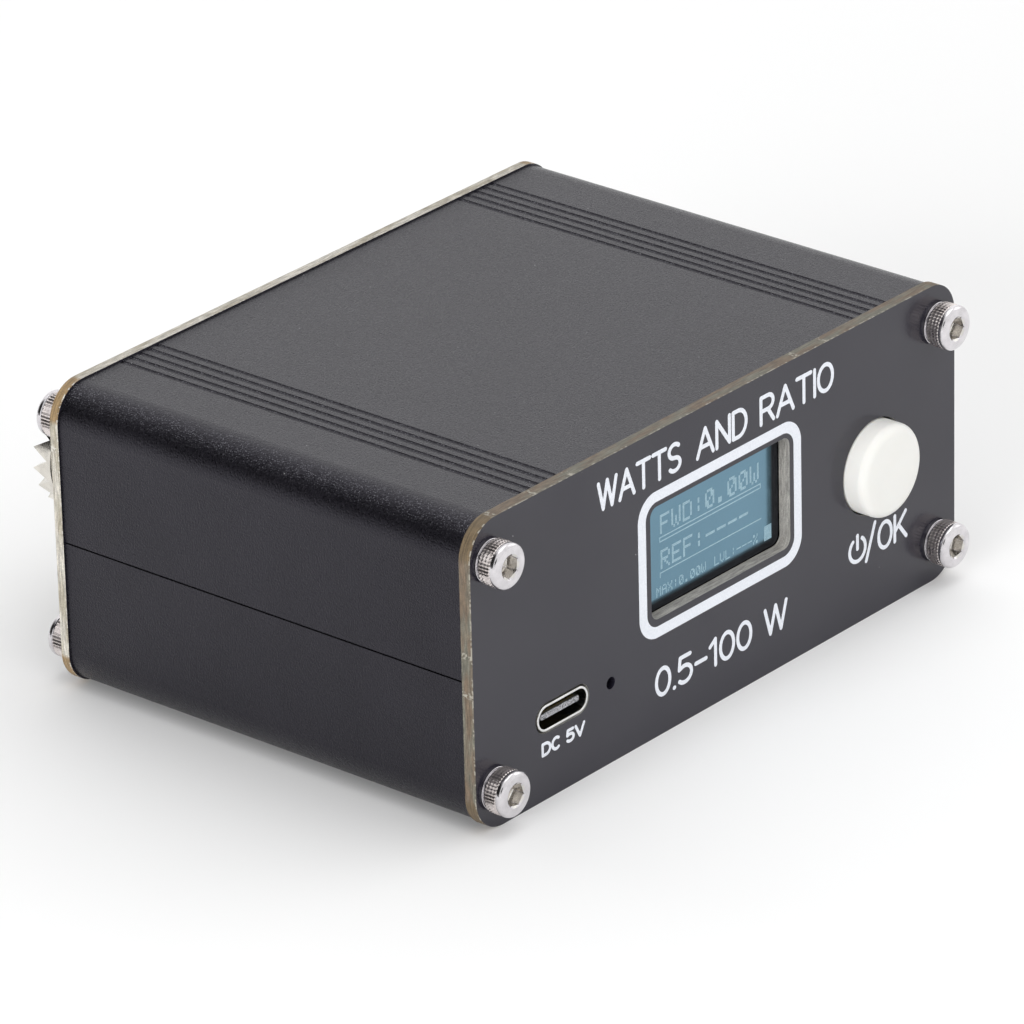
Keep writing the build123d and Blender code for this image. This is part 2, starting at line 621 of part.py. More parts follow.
with BuildPart() as controller_leads:
    with BuildSketch(Plane.XY.offset(MAIN_TOP)):
        lead_offset = CHIP_SIDE / 2 + LEAD_OUT / 2
        for x_side in (-1, 1):
            with Locations((CHIP_X + x_side * lead_offset, CHIP_Y)):
                with GridLocations(1, LEAD_PITCH, 1, LEADS_PER_SIDE):
                    Rectangle(LEAD_OUT, 0.36)
        for y_side in (-1, 1):
            with Locations((CHIP_X, CHIP_Y + y_side * lead_offset)):
                with GridLocations(LEAD_PITCH, 1, LEADS_PER_SIDE, 1):
                    Rectangle(0.36, LEAD_OUT)
    extrude(amount=0.2)
finish(controller_leads.part, "controller_leads")

with BuildPart() as chip_capacitors:
    with BuildSketch(Plane.XY.offset(MAIN_TOP)):
        with Locations((-30.0, FRONT_FACE + 22.0)):
            with GridLocations(4.0, 1, 4, 1):
                Rectangle(2.0, 1.25)
        with Locations((-4.0, FRONT_FACE + 46.0)):
            with GridLocations(3.5, 1, 3, 1):
                Rectangle(2.0, 1.25)
    extrude(amount=1.2)
finish(chip_capacitors.part, "chip_capacitors")

with BuildPart() as chip_resistors:
    with BuildSketch(Plane.XY.offset(MAIN_TOP)):
        with Locations((-28.0, FRONT_FACE + 38.0)):
            with GridLocations(3.0, 2.6, 5, 2):
                Rectangle(1.6, 0.85)
        with Locations((31.0, FRONT_FACE + 50.0)):
            with GridLocations(3.0, 2.6, 3, 3):
                Rectangle(1.6, 0.85)
    extrude(amount=0.5)
finish(chip_resistors.part, "chip_resistors")

# Glass diodes lying along X, each a bead on a straight wire
DIODE_RADIUS = 0.95
DIODE_LENGTH = 3.8
DIODE_WIRE_RADIUS = 0.25
DIODE_WIRE_LENGTH = 7.6
DIODE_Z = MAIN_TOP + DIODE_RADIUS
with BuildPart() as detector_diodes:
    with BuildSketch(Plane.YZ.offset(-30.0)):
        with Locations((FRONT_FACE + 47.0, DIODE_Z), (FRONT_FACE + 51.0, DIODE_Z)):
            Circle(DIODE_RADIUS)
    extrude(amount=DIODE_LENGTH / 2, both=True)
    with BuildSketch(Plane.YZ.offset(-30.0)):
        with Locations((FRONT_FACE + 47.0, DIODE_Z), (FRONT_FACE + 51.0, DIODE_Z)):
            Circle(DIODE_WIRE_RADIUS)
    extrude(amount=DIODE_WIRE_LENGTH / 2, both=True)
finish(detector_diodes.part, "detector_diodes")


# ---- Battery, with its plug and socket --------------------------------------------------
BATTERY_BOTTOM = MAIN_TOP + PAD_THICKNESS
with BuildPart() as battery_pad:
    with BuildSketch(Plane.XY.offset(MAIN_TOP)):
        with Locations((BATTERY_X, BATTERY_Y)):
            Rectangle(BATTERY_WIDTH - 6, BATTERY_DEPTH - 6)
    extrude(amount=PAD_THICKNESS)
finish(battery_pad.part, "battery_pad")

with BuildPart() as battery_cell:
    with BuildSketch(Plane.XY.offset(BATTERY_BOTTOM)):
        with Locations((BATTERY_X, BATTERY_Y)):
            RectangleRounded(BATTERY_WIDTH, BATTERY_DEPTH, 1.5)
    extrude(amount=BATTERY_THICKNESS)
    fillet(battery_cell.edges().group_by(Axis.Z)[-1], 1.2)
    fillet(battery_cell.edges().group_by(Axis.Z)[0], 1.2)
finish(battery_cell.part, "battery_cell")

SOCKET_HEIGHT = 5.0
PLUG_LENGTH = 5.6
LEAD_Z = MAIN_TOP + 3.0
with BuildPart() as battery_socket:
    with BuildSketch(Plane.XY.offset(MAIN_TOP)):
        with Locations((PLUG_X, PLUG_Y)):
            Rectangle(6.4, 7.6)
    extrude(amount=SOCKET_HEIGHT)
    with BuildSketch(Plane.YZ.offset(PLUG_X + 3.2)):
        with Locations((PLUG_Y, LEAD_Z)):
            Rectangle(6.4, 3.0)
    extrude(amount=-PLUG_LENGTH, mode=Mode.SUBTRACT)
finish(battery_socket.part, "battery_socket")

PLUG_BACK = PLUG_X + 3.2 - PLUG_LENGTH
PLUG_FRONT = PLUG_BACK + PLUG_LENGTH + 1.2
with BuildPart() as battery_plug:
    with BuildSketch(Plane.YZ.offset(PLUG_BACK)):
        with Locations((PLUG_Y, LEAD_Z)):
            Rectangle(6.2, 2.8)
    extrude(amount=PLUG_LENGTH + 1.2)
finish(battery_plug.part, "battery_plug")


def make_battery_lead(name, y):
    """One insulated wire from the plug to the end of the cell."""
    with BuildPart() as lead:
        with BuildSketch(Plane.YZ.offset(PLUG_FRONT)):
            with Locations((y, LEAD_Z)):
                Circle(LEAD_RADIUS)
        extrude(amount=BATTERY_X - BATTERY_WIDTH / 2 - PLUG_FRONT)
    finish(lead.part, name)


make_battery_lead("battery_lead_red", PLUG_Y - BATTERY_PLUG_PITCH / 2)
make_battery_lead("battery_lead_black", PLUG_Y + BATTERY_PLUG_PITCH / 2)


# ---- UHF sockets --------------------------------------------------------------------
FLANGE_FRONT = SHELL_REAR - FLANGE_THICKNESS
MOUTH_FLOOR = SOCKET_END - MOUTH_DEPTH
INSULATOR_FRONT = FLANGE_FRONT - 1.2
TAIL_FRONT = LINE_Y - 2.0


def make_socket(side_name, x):
    """Body, insulator, centre contact, lock washer and nut of one socket on the axis at x."""
    axis_point = (x, MID_HEIGHT)
    with BuildPart() as body:
        with BuildSketch(upright(FLANGE_FRONT)):
            with Locations(axis_point):
                Circle(FLANGE_RADIUS)
        extrude(amount=-FLANGE_THICKNESS)
        # The stretch that the panel, washer and nut sit on is a touch thinner than the plug's thread
        with BuildSketch(upright(SHELL_REAR)):
            with Locations(axis_point):
                Circle(SEAT_RADIUS)
        extrude(amount=-(REAR_FACE + SEAT_REACH - SHELL_REAR))
        with BuildSketch(upright(REAR_FACE + SEAT_REACH)):
            with Locations(axis_point):
                Circle(BARREL_RADIUS)
        extrude(amount=-(SOCKET_REACH - SEAT_REACH))
        with BuildSketch(upright(FLANGE_FRONT)):
            with Locations(axis_point):
                Circle(INSULATOR_RADIUS)
        extrude(amount=-(SOCKET_END - FLANGE_FRONT), mode=Mode.SUBTRACT)
        with BuildSketch(upright(SOCKET_END)):
            with Locations(axis_point):
                Circle(MOUTH_RADIUS)
        extrude(amount=MOUTH_DEPTH, mode=Mode.SUBTRACT)
        # V-notches round the rim; each cut crosses the rim on both sides of the axis
        half_notch = TOOTH_SHARPNESS * math.pi * BARREL_RADIUS / TOOTH_COUNT
        for i in range(TOOTH_COUNT // 2):
            turn = 360 / TOOTH_COUNT * (i + 0.5) + TOOTH_TURN
            rim_plane = Plane(
                origin=(x, SOCKET_END, MID_HEIGHT),
                x_dir=(math.cos(math.radians(turn)), 0, math.sin(math.radians(turn))),
                z_dir=(-math.sin(math.radians(turn)), 0, math.cos(math.radians(turn))),
            )
            with BuildSketch(rim_plane):
                Polygon(
                    (-half_notch, 0),
                    (half_notch, 0),
                    (0, -TOOTH_DEPTH),
                    align=None,
                )
            extrude(amount=BARREL_RADIUS + 1, both=True, mode=Mode.SUBTRACT)
    finish(body.part, f"{side_name}_socket_body")

    with BuildPart() as insulator:
        with BuildSketch(upright(INSULATOR_FRONT)):
            with Locations(axis_point):
                Circle(INSULATOR_RADIUS)
                Circle(CONTACT_RADIUS, mode=Mode.SUBTRACT)
        extrude(amount=-(MOUTH_FLOOR - INSULATOR_FRONT))
    finish(insulator.part, f"{side_name}_socket_insulator")

    with BuildPart() as contact:
        with BuildSketch(upright(INSULATOR_FRONT)):
            with Locations(axis_point):
                Circle(CONTACT_RADIUS)
        extrude(amount=-(MOUTH_FLOOR - INSULATOR_FRONT))
        with BuildSketch(upright(MOUTH_FLOOR)):
            with Locations(axis_point):
                Circle(CONTACT_BORE_RADIUS)
        extrude(amount=CONTACT_BORE_DEPTH, mode=Mode.SUBTRACT)
        with BuildSketch(upright(INSULATOR_FRONT)):
            with Locations(axis_point):
                Circle(CONTACT_TAIL_RADIUS)
        extrude(amount=INSULATOR_FRONT - TAIL_FRONT)
        # The through line is soldered into a cross hole in the tail
        with BuildSketch(Plane.YZ.offset(x)):
            with Locations((LINE_Y, MID_HEIGHT)):
                Circle(LINE_RADIUS)
        extrude(amount=CONTACT_TAIL_RADIUS + 1, both=True, mode=Mode.SUBTRACT)
    finish(contact.part, f"{side_name}_socket_contact")

    with BuildPart() as washer:
        with BuildSketch(upright(REAR_FACE)):
            with Locations(axis_point):
                Circle(WASHER_RADIUS)
                Circle(BARREL_RADIUS + 0.1, mode=Mode.SUBTRACT)
        extrude(amount=-WASHER_THICKNESS)
    finish(washer.part, f"{side_name}_socket_washer")

    with BuildPart() as nut:
        with BuildSketch(upright(REAR_FACE + WASHER_THICKNESS)):
            with Locations(axis_point):
                RegularPolygon(NUT_ACROSS_FLATS / 2, 6, major_radius=False)
                Circle(SEAT_RADIUS, mode=Mode.SUBTRACT)
        extrude(amount=-NUT_THICKNESS)
    finish(nut.part, f"{side_name}_socket_nut")


make_socket("left", -SOCKET_X)
make_socket("right", SOCKET_X)


# ---- Coupler: the through line and two wound cores ------------------------------------
LINE_END = SOCKET_X + CONTACT_TAIL_RADIUS + 0.6
SLEEVE_LENGTH = 9.0
with BuildPart() as through_line:
    with BuildSketch(Plane.YZ):
        with Locations((LINE_Y, MID_HEIGHT)):
            Circle(LINE_RADIUS)
    extrude(amount=LINE_END, both=True)
finish(through_line.part, "through_line")

# The sleeve fills the space inside the winding and carries the core on the line
SLEEVE_RADIUS = CORE_INNER_RADIUS - WIRE_SIDE - 2 * WIRE_PLAY
with BuildPart() as line_sleeve:
    with BuildSketch(Plane.YZ.offset(LINE_CORE_X)):
        with Locations((LINE_Y, MID_HEIGHT)):
            Circle(SLEEVE_RADIUS)
            Circle(LINE_RADIUS, mode=Mode.SUBTRACT)
    extrude(amount=SLEEVE_LENGTH / 2, both=True)
finish(line_sleeve.part, "line_sleeve")


def make_core(name, plane):
    """A ferrite ring on the plane, half its width each side of it."""
    with BuildPart() as core:
        with BuildSketch(plane):
            Circle(CORE_OUTER_RADIUS)
            Circle(CORE_INNER_RADIUS, mode=Mode.SUBTRACT)
        extrude(amount=CORE_WIDTH / 2, both=True)
    finish(core.part, name)


def turn_angle(i):
    """The place of a turn round its ring; the gap in the winding is at 270 degrees."""
    return math.radians(TURN_SPREAD / TURN_COUNT * (i + 0.5) - TURN_SPREAD / 2 + 90)


def make_winding(name, plane, leads):
    """Square-section turns round the ring, each a closed loop, spread over most of a circle.
    With leads, the first and last turn each have a straight end down to the main board."""
    section = CORE_OUTER_RADIUS - CORE_INNER_RADIUS + 2 * WIRE_PLAY
    width = CORE_WIDTH + 2 * WIRE_PLAY
    middle_radius = (CORE_OUTER_RADIUS + CORE_INNER_RADIUS) / 2
    with BuildPart() as winding:
        for i in range(TURN_COUNT):
            turn = turn_angle(i)
            radial = plane.x_dir * math.cos(turn) + plane.y_dir * math.sin(turn)
            with BuildSketch(Plane(plane.origin, x_dir=radial, z_dir=radial.cross(plane.z_dir))):
                with Locations((middle_radius, 0)):
                    Rectangle(section + 2 * WIRE_SIDE, width + 2 * WIRE_SIDE)
                    Rectangle(section, width, mode=Mode.SUBTRACT)
            extrude(amount=WIRE_SIDE / 2, both=True)
        if leads:
            lead_radius = CORE_OUTER_RADIUS + WIRE_PLAY + WIRE_SIDE / 2
            lead_y = lead_radius * math.cos(turn_angle(0))
            lead_top = MID_HEIGHT + lead_radius * math.sin(turn_angle(0))
            with BuildSketch(Plane.XY.offset(MAIN_TOP)):
                with Locations((LINE_CORE_X, LINE_Y)):
                    with GridLocations(1, 2 * lead_y, 1, 2):
                        Rectangle(WIRE_SIDE, WIRE_SIDE)
            extrude(amount=lead_top - MAIN_TOP)
    finish(winding.part, name)


LINE_CORE_PLANE = Plane(origin=(LINE_CORE_X, LINE_Y, MID_HEIGHT), x_dir=(0, 1, 0), z_dir=(1, 0, 0))
SAMPLE_CORE_Z = MAIN_TOP + WIRE_SIDE + WIRE_PLAY + CORE_WIDTH / 2
SAMPLE_CORE_PLANE = Plane(origin=(SAMPLE_CORE_X, SAMPLE_CORE_Y, SAMPLE_CORE_Z))
make_core("line_core", LINE_CORE_PLANE)
make_winding("line_winding", LINE_CORE_PLANE, True)
make_core("sample_core", SAMPLE_CORE_PLANE)
make_winding("sample_winding", SAMPLE_CORE_PLANE, False)
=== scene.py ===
import json
import math

import bmesh
import bpy
import numpy as np
from mathutils import Matrix, Vector


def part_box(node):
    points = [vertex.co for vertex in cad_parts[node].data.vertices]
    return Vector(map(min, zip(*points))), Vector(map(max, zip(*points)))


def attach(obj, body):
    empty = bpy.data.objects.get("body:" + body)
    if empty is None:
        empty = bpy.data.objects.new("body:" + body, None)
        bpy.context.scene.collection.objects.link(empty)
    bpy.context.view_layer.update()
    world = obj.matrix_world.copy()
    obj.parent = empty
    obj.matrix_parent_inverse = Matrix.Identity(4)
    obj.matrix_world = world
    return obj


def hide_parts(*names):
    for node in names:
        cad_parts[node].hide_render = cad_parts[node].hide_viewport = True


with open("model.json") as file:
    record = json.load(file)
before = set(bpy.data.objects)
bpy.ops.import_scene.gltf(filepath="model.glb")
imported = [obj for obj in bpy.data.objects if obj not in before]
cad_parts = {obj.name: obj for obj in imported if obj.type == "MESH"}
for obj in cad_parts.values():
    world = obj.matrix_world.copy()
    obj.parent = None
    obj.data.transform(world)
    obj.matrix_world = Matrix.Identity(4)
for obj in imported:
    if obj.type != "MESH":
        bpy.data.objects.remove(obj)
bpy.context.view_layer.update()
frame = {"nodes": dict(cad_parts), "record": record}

# The looks of a pocket SWR meter. Every place comes from the CAD nodes' boxes; sizes that the
# CAD model doesn't hold, such as the printed legends, are given here in millimetres.
MM = 0.001
NODES = frame["nodes"]


def box_mm(node):
    """Lowest and highest corner of a CAD node, in millimetres."""
    low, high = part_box(node)
    return low / MM, high / MM


PANEL_LOW, PANEL_HIGH = box_mm("front_panel")
FRONT_FACE = PANEL_LOW.y
MID_HEIGHT = (PANEL_LOW.z + PANEL_HIGH.z) / 2
REAR_FACE = box_mm("rear_panel")[1].y
REAR_THICKNESS = REAR_FACE - box_mm("rear_panel")[0].y


# ---- Camera, floor and light ---------------------------------------------------------------
CAMERA_AZIMUTH = -49.465
CAMERA_ELEVATION = 25.006
CAMERA_ROLL = -1.452
CAMERA_DISTANCE = 923.2
CAMERA_TARGET = Vector((-8.8, FRONT_FACE + 23.8, 20.33))
CAMERA_LENS = 282.12
SENSOR_WIDTH = 36.0
LIGHT_AIM = Vector((0, 0, 0.02))
FLOOR_HALF_WIDTH = 6.0
# Dark patches of the white room: a direction, and the cosines round it where each begins and is full
DARK_PATCHES = [
    ((-0.75, 0.59, 0.30), 0.58, 0.90),
    ((-0.689, -0.589, 0.423), 0.955, 0.985),
]
PATCH_LIGHT = 0.02
# Area lights: the direction and distance from the object, the size in metres, the power in watts, and
# whether the light shows in reflections
LIGHTS = [
    ("key", (0.95, -0.45, 0.55), 1.2, 0.7, 0.8, True),
    ("left", (-1.0, -0.12, 0.2), 1.2, 0.7, 13.0, False),
    ("far", (0.69, 0.59, 0.45), 1.5, 1.2, 0.6, True),
    ("overhead", (0.1, -0.1, 1.0), 1.5, 1.2, 4.0, True),
]


def add_camera():
    """A long lens that looks down on the front left corner."""
    azimuth = math.radians(CAMERA_AZIMUTH)
    elevation = math.radians(CAMERA_ELEVATION)
    back = Vector((
        math.sin(azimuth) * math.cos(elevation),
        -math.cos(azimuth) * math.cos(elevation),
        math.sin(elevation),
    ))
    data = bpy.data.cameras.new("camera")
    data.lens = CAMERA_LENS
    data.sensor_width = SENSOR_WIDTH
    data.clip_start = 0.01
    camera = bpy.data.objects.new("camera", data)
    bpy.context.scene.collection.objects.link(camera)
    aim = (-back).to_track_quat("-Z", "Y").to_matrix().to_4x4()
    roll = Matrix.Rotation(math.radians(CAMERA_ROLL), 4, "Z")
    place = Matrix.Translation((CAMERA_TARGET + back * CAMERA_DISTANCE) * MM)
    camera.matrix_world = place @ aim @ roll
    bpy.context.scene.camera = camera


def add_area_light(name, direction, distance, size, power, mirrored):
    """A square soft light seen from the object in the given direction."""
    data = bpy.data.lights.new(name, "AREA")
    data.shape = "SQUARE"
    data.size = size
    data.energy = power
    light = bpy.data.objects.new(name, data)
    light.visible_camera = False
    light.visible_glossy = mirrored
    bpy.context.scene.collection.objects.link(light)
    toward = Vector(direction).normalized()
    light.location = LIGHT_AIM + toward * distance
    light.rotation_mode = "QUATERNION"
    light.rotation_quaternion = toward.to_track_quat("Z", "Y")


def dark_patch(tree, direction, edge, core):
    """1 away from a direction of the room and PATCH_LIGHT round it, fading between two cosines."""
    place = tree.nodes.new("ShaderNodeTexCoord")
    tilt = tree.nodes.new("ShaderNodeVectorMath")
    tilt.operation = "DOT_PRODUCT"
    tilt.inputs[1].default_value = Vector(direction).normalized()
    tree.links.new(place.outputs["Generated"], tilt.inputs[0])
    ramp = tree.nodes.new("ShaderNodeMapRange")
    ramp.interpolation_type = "SMOOTHSTEP"
    ramp.inputs["From Min"].default_value = edge
    ramp.inputs["From Max"].default_value = core
    ramp.inputs["To Min"].default_value = 1.0
    ramp.inputs["To Max"].default_value = PATCH_LIGHT
    tree.links.new(tilt.outputs["Value"], ramp.inputs["Value"])
    return ramp.outputs["Result"]


def add_world():
    """A white room with a wide dark patch low behind on the left and a small one in front of it."""
    world = bpy.data.worlds.new("room")
    bpy.context.scene.world = world
    world.use_nodes = True
    tree = world.node_tree
    both = tree.nodes.new("ShaderNodeMath")
    both.operation = "MULTIPLY"
    for patch, factor in zip(DARK_PATCHES, both.inputs):
        tree.links.new(dark_patch(tree, *patch), factor)
    room = tree.nodes["Background"]
    tree.links.new(both.outputs[0], room.inputs["Strength"])
    room.inputs["Color"].default_value = (1.0, 1.0, 1.0, 1.0)


def add_floor():
    """A large plain pale floor."""
    bm = bmesh.new()
    bmesh.ops.create_grid(bm, x_segments=1, y_segments=1, size=FLOOR_HALF_WIDTH)
    mesh = bpy.data.meshes.new("floor")
    bm.to_mesh(mesh)
    bm.free()
    floor = bpy.data.objects.new("floor", mesh)
    bpy.context.scene.collection.objects.link(floor)
    finish = Finish("pale_floor", Roughness=0.9)
    finish.set("Base Color", (0.90, 0.90, 0.90, 1.0))
    mesh.materials.append(finish.material)


# ---- Materials -----------------------------------------------------------------------------
SCAR_WIDTH = 0.9
FRONT_SCARS = [
    ("Z", 17.5), ("Z", 22.3), ("X", 14.5), ("X", 20.0), ("X", -26.0), ("X", -32.5), ("X", -39.5),
]
REAR_SCARS = [("Z", 30.5)]
PANEL_CORNER = 4.5
CUT_OUT_FIBRE = (0.36, 0.345, 0.32)
LINT = (0.30, 0.30, 0.31)
# Where the display's painted shade of the window's right and bottom walls begins, in mm
PAINTED_SHADE_X = 11.5
PAINTED_SHADE_Z = 15.9


class Finish:
    """One Principled material whose textures are laid out in millimetres of the object."""

    def __init__(self, name, **values):
        self.material = bpy.data.materials.new(name)
        self.material.use_nodes = True
        self.tree = self.material.node_tree
        self.shader = self.tree.nodes["Principled BSDF"]
        self.place = self.add("TexCoord").outputs["Object"]
        for socket, value in values.items():
            self.set(socket.replace("_", " "), value)

    def add(self, kind, inputs=None, **settings):
        node = self.tree.nodes.new("ShaderNode" + kind)
        for key, value in settings.items():
            setattr(node, key, value)
        for key, value in (inputs or {}).items():
            self.feed(node.inputs[key], value)
        return node

    def feed(self, socket, value):
        if isinstance(value, bpy.types.NodeSocket):
            self.tree.links.new(value, socket)
        elif socket.type == "RGBA" and len(value) == 3:
            socket.default_value = (*value, 1.0)
        else:
            socket.default_value = value

    def set(self, name, value):
        """Sets an input of the shader to a number, a colour or another node's output."""
        self.feed(self.shader.inputs[name], value)

    def stretched(self, size, stretch):
        """Object coordinates in units of size mm, longer by stretch along each axis."""
        scale = [1 / (MM * size * s) for s in stretch]
        return self.add("Mapping", {"Vector": self.place, "Scale": scale}).outputs[0]

    def noise(self, size, detail=2.0, stretch=(1, 1, 1)):
        """Soft noise from 0 to 1 whose features are about size mm."""
        place = self.stretched(size, stretch)
        return self.add("TexNoise", {"Vector": place, "Scale": 1.0, "Detail": detail}).outputs[0]

    def remap(self, value, low, high, to_low=0.0, to_high=1.0):
        """The value's range from low to high, stretched to another and held at its ends."""
        inputs = {"Value": value, "From Min": low, "From Max": high}
        inputs.update({"To Min": to_low, "To Max": to_high})
        return self.add("MapRange", inputs).outputs[0]

    def math(self, operation, a, b=0.0):
        return self.add("Math", {0: a, 1: b}, operation=operation).outputs[0]

    def blend(self, factor, a, b):
        """Colour a where the factor is 0 and colour b where it is 1."""
        # Sockets 0, 6, 7 and output 2 are the Mix node's factor, two colours and colour
        return self.add("Mix", {0: factor, 6: a, 7: b}, data_type="RGBA").outputs[2]

    def axis(self, name):
        """Object coordinate along X, Y or Z, in millimetres."""
        split = self.add("SeparateXYZ", {"Vector": self.place})
        return self.math("MULTIPLY", split.outputs[name], 1 / MM)

    def facing(self, name):
        """How far the surface faces X, Y or Z of the object, from -1 to 1."""
        normal = self.add("TexCoord").outputs["Normal"]
        return self.add("SeparateXYZ", {"Vector": normal}).outputs[name]

    def bump(self, height, depth):
        """Surface relief of depth mm from a height of 0 to 1, on top of any relief so far."""
        node = self.add("Bump", {"Height": height, "Strength": 1.0, "Distance": depth * MM})
        normal = self.shader.inputs["Normal"]
        if normal.is_linked:
            self.tree.links.new(normal.links[0].from_socket, node.inputs["Normal"])
        self.tree.links.new(node.outputs[0], normal)

    def outline(self):
        """Two masks of the panels' outer edges: 1 all round but 0 in the cut-outs, and 1 at the round
        corners only."""
        aside = self.math("ABSOLUTE", self.axis("X"))
        over_x = self.math("SUBTRACT", aside, PANEL_HIGH.x - PANEL_CORNER)
        up = self.math("ABSOLUTE", self.math("SUBTRACT", self.axis("Z"), MID_HEIGHT))
        over_z = self.math("SUBTRACT", up, PANEL_HIGH.z - MID_HEIGHT - PANEL_CORNER)
        out_x = self.math("MAXIMUM", over_x)
        out_z = self.math("MAXIMUM", over_z)
        square_x = self.math("MULTIPLY", out_x, out_x)
        square = self.math("ADD", square_x, self.math("MULTIPLY", out_z, out_z))
        inside = self.math("MINIMUM", self.math("MAXIMUM", over_x, over_z))
        reach = self.math("ADD", self.math("SQRT", square), inside)
        edge = self.remap(reach, PANEL_CORNER - 0.5, PANEL_CORNER - 0.3)
        corner = self.math("MULTIPLY", self.remap(over_x, 0.0, 0.6), self.remap(over_z, 0.0, 0.6))
        return edge, corner

    def specks(self, spacing, radius, share):
        """1 inside scattered round specks, 0 elsewhere. Share is the part of the cells with one."""
        place = self.stretched(spacing, (1, 1, 1))
        cells = self.add("TexVoronoi", {"Vector": place, "Scale": 1.0, "Randomness": 1.0})
        draw = self.add("SeparateColor", {"Color": cells.outputs["Color"]}).outputs[0]
        chosen = self.remap(draw, share, share * 0.98)
        near = self.remap(cells.outputs["Distance"], radius / spacing, radius / spacing * 0.7)
        return self.math("MULTIPLY", chosen, near)


def plain_finish(name, dark, light, roughness, grain, depth, **values):
    """A finish that wanders between two colours, with fine relief of the given grain."""
    finish = Finish(name, **values)
    cloud = finish.noise(grain * 12, 3.0)
    fine = finish.noise(grain, 2.0)
    finish.set("Base Color", finish.blend(finish.remap(cloud, 0.3, 0.7), dark, light))
    finish.set("Roughness", finish.remap(fine, 0.25, 0.75, roughness - 0.05, roughness + 0.07))
    finish.bump(fine, depth)
    return finish


def anodised_finish():
    """Black anodising over fine bead-blasted aluminium with a little lint on it, and painted glints:
    pale specks painted into the colour on the round shoulders, as highlights of the grains."""
    finish = Finish("anodised", IOR=1.58, Specular_Tint=(0.52, 0.495, 0.62))
    cloud = finish.noise(9.0, 3.0)
    grain = finish.noise(0.22, 3.0)
    broad = finish.remap(cloud, 0.3, 0.7, 0.0, 0.4)
    shade = finish.math("ADD", broad, finish.remap(grain, 0.3, 0.7, 0.0, 0.6))
    dye_with_painted_glints = finish.blend(shade, (0.0008, 0.0007, 0.0012), (0.0072, 0.0067, 0.0088))
    # Painted glints: where the surface turns from the flat top down to the sides, pale specks are
    # painted into the colour as highlights of the grains.
    upward = finish.facing("Z")
    off_level = finish.remap(upward, 0.998, 0.96)
    painted_glint_band = finish.math("MULTIPLY", finish.remap(upward, 0.52, 0.85), off_level)
    painted_glints = finish.math("MULTIPLY", painted_glint_band, finish.specks(0.19, 0.062, 0.62))
    dye_with_painted_glints = finish.blend(painted_glints, dye_with_painted_glints, (0.14, 0.14, 0.155))
    finish.set("Base Color", finish.blend(finish.specks(2.4, 0.09, 0.5), dye_with_painted_glints, LINT))
    finish.set("Roughness", finish.remap(grain, 0.25, 0.75, 0.20, 0.38))
    finish.bump(grain, 0.085)
    finish.bump(finish.noise(1.6, 2.0), 0.010)
    return finish


def mask_finish():
    """Satin black solder mask, slightly uneven, with a few light dust specks."""
    finish = Finish("solder_mask")
    cloud = finish.noise(14.0, 3.0)
    ripple = finish.noise(0.40, 2.0)
    patches = finish.remap(cloud, 0.3, 0.7)
    film = finish.blend(patches, (0.015, 0.0135, 0.023), (0.022, 0.0205, 0.030))
    finish.set("Base Color", finish.blend(finish.specks(3.1, 0.09, 0.5), film, LINT))
    finish.set("Roughness", finish.remap(ripple, 0.25, 0.75, 0.16, 0.24))
    finish.bump(ripple, 0.004)
    return finish


def fibre_finish(name, brown, grey, flecked, scorched, front, scars):
    """The routed edge of a glass-fibre board: bands and fine plies along it, scorched at the round
    corners, with broken pale ends next to its front face and rough pale marks where tabs once held
    it, each an axis and a place in mm. The walls of the cut-outs are paler."""
    finish = Finish(name)
    bands = finish.noise(0.9, 1.0, stretch=(5, 1, 5))
    plies = finish.noise(0.17, 2.0, stretch=(9, 1, 9))
    grit = finish.noise(0.13, 2.0)
    base = finish.blend(finish.remap(bands, 0.38, 0.62), brown, grey)
    outline, corner = finish.outline()
    base = finish.blend(corner, base, scorched)
    base = finish.blend(outline, CUT_OUT_FIBRE, base)
    streaks = finish.remap(plies, 0.3, 0.7, 0.62, 1.38)
    shade = finish.math("MULTIPLY", streaks, finish.remap(grit, 0.3, 0.7, 0.75, 1.25))
    streaked = finish.add("VectorMath", {0: base, 1: shade}, operation="MULTIPLY").outputs[0]
    depth = finish.math("SUBTRACT", finish.axis("Y"), front)
    rim = finish.remap(depth, 0.24, 0.12)
    pale = finish.math("MULTIPLY", rim, finish.remap(finish.noise(0.5, 2.0), 0.50, 0.58))
    pale = finish.math("MULTIPLY", pale, outline)
    for axis, place in scars:
        reach = finish.math("ABSOLUTE", finish.math("SUBTRACT", finish.axis(axis), place))
        band = finish.remap(reach, SCAR_WIDTH / 2, SCAR_WIDTH / 2 - 0.2)
        mark = finish.math("MULTIPLY", band, finish.remap(finish.noise(0.35, 2.0), 0.46, 0.56))
        pale = finish.math("MAXIMUM", pale, finish.math("MULTIPLY", mark, outline))
    finish.set("Base Color", finish.blend(pale, streaked, flecked))
    finish.set("Roughness", finish.remap(grit, 0.3, 0.7, 0.5, 0.72))
    finish.bump(plies, 0.03)
    finish.bump(grit, 0.03)
    finish.bump(pale, 0.05)
    return finish


def ink_finish():
    """White screen-printed ink, slightly mottled."""
    finish = Finish("white_ink")
    fine = finish.noise(0.25, 2.0)
    mottle = finish.remap(fine, 0.3, 0.7)
    finish.set("Base Color", finish.blend(mottle, (0.73, 0.76, 0.82), (0.82, 0.845, 0.90)))
    finish.set("Roughness", finish.remap(fine, 0.3, 0.7, 0.45, 0.6))
    finish.bump(fine, 0.004)
    return finish


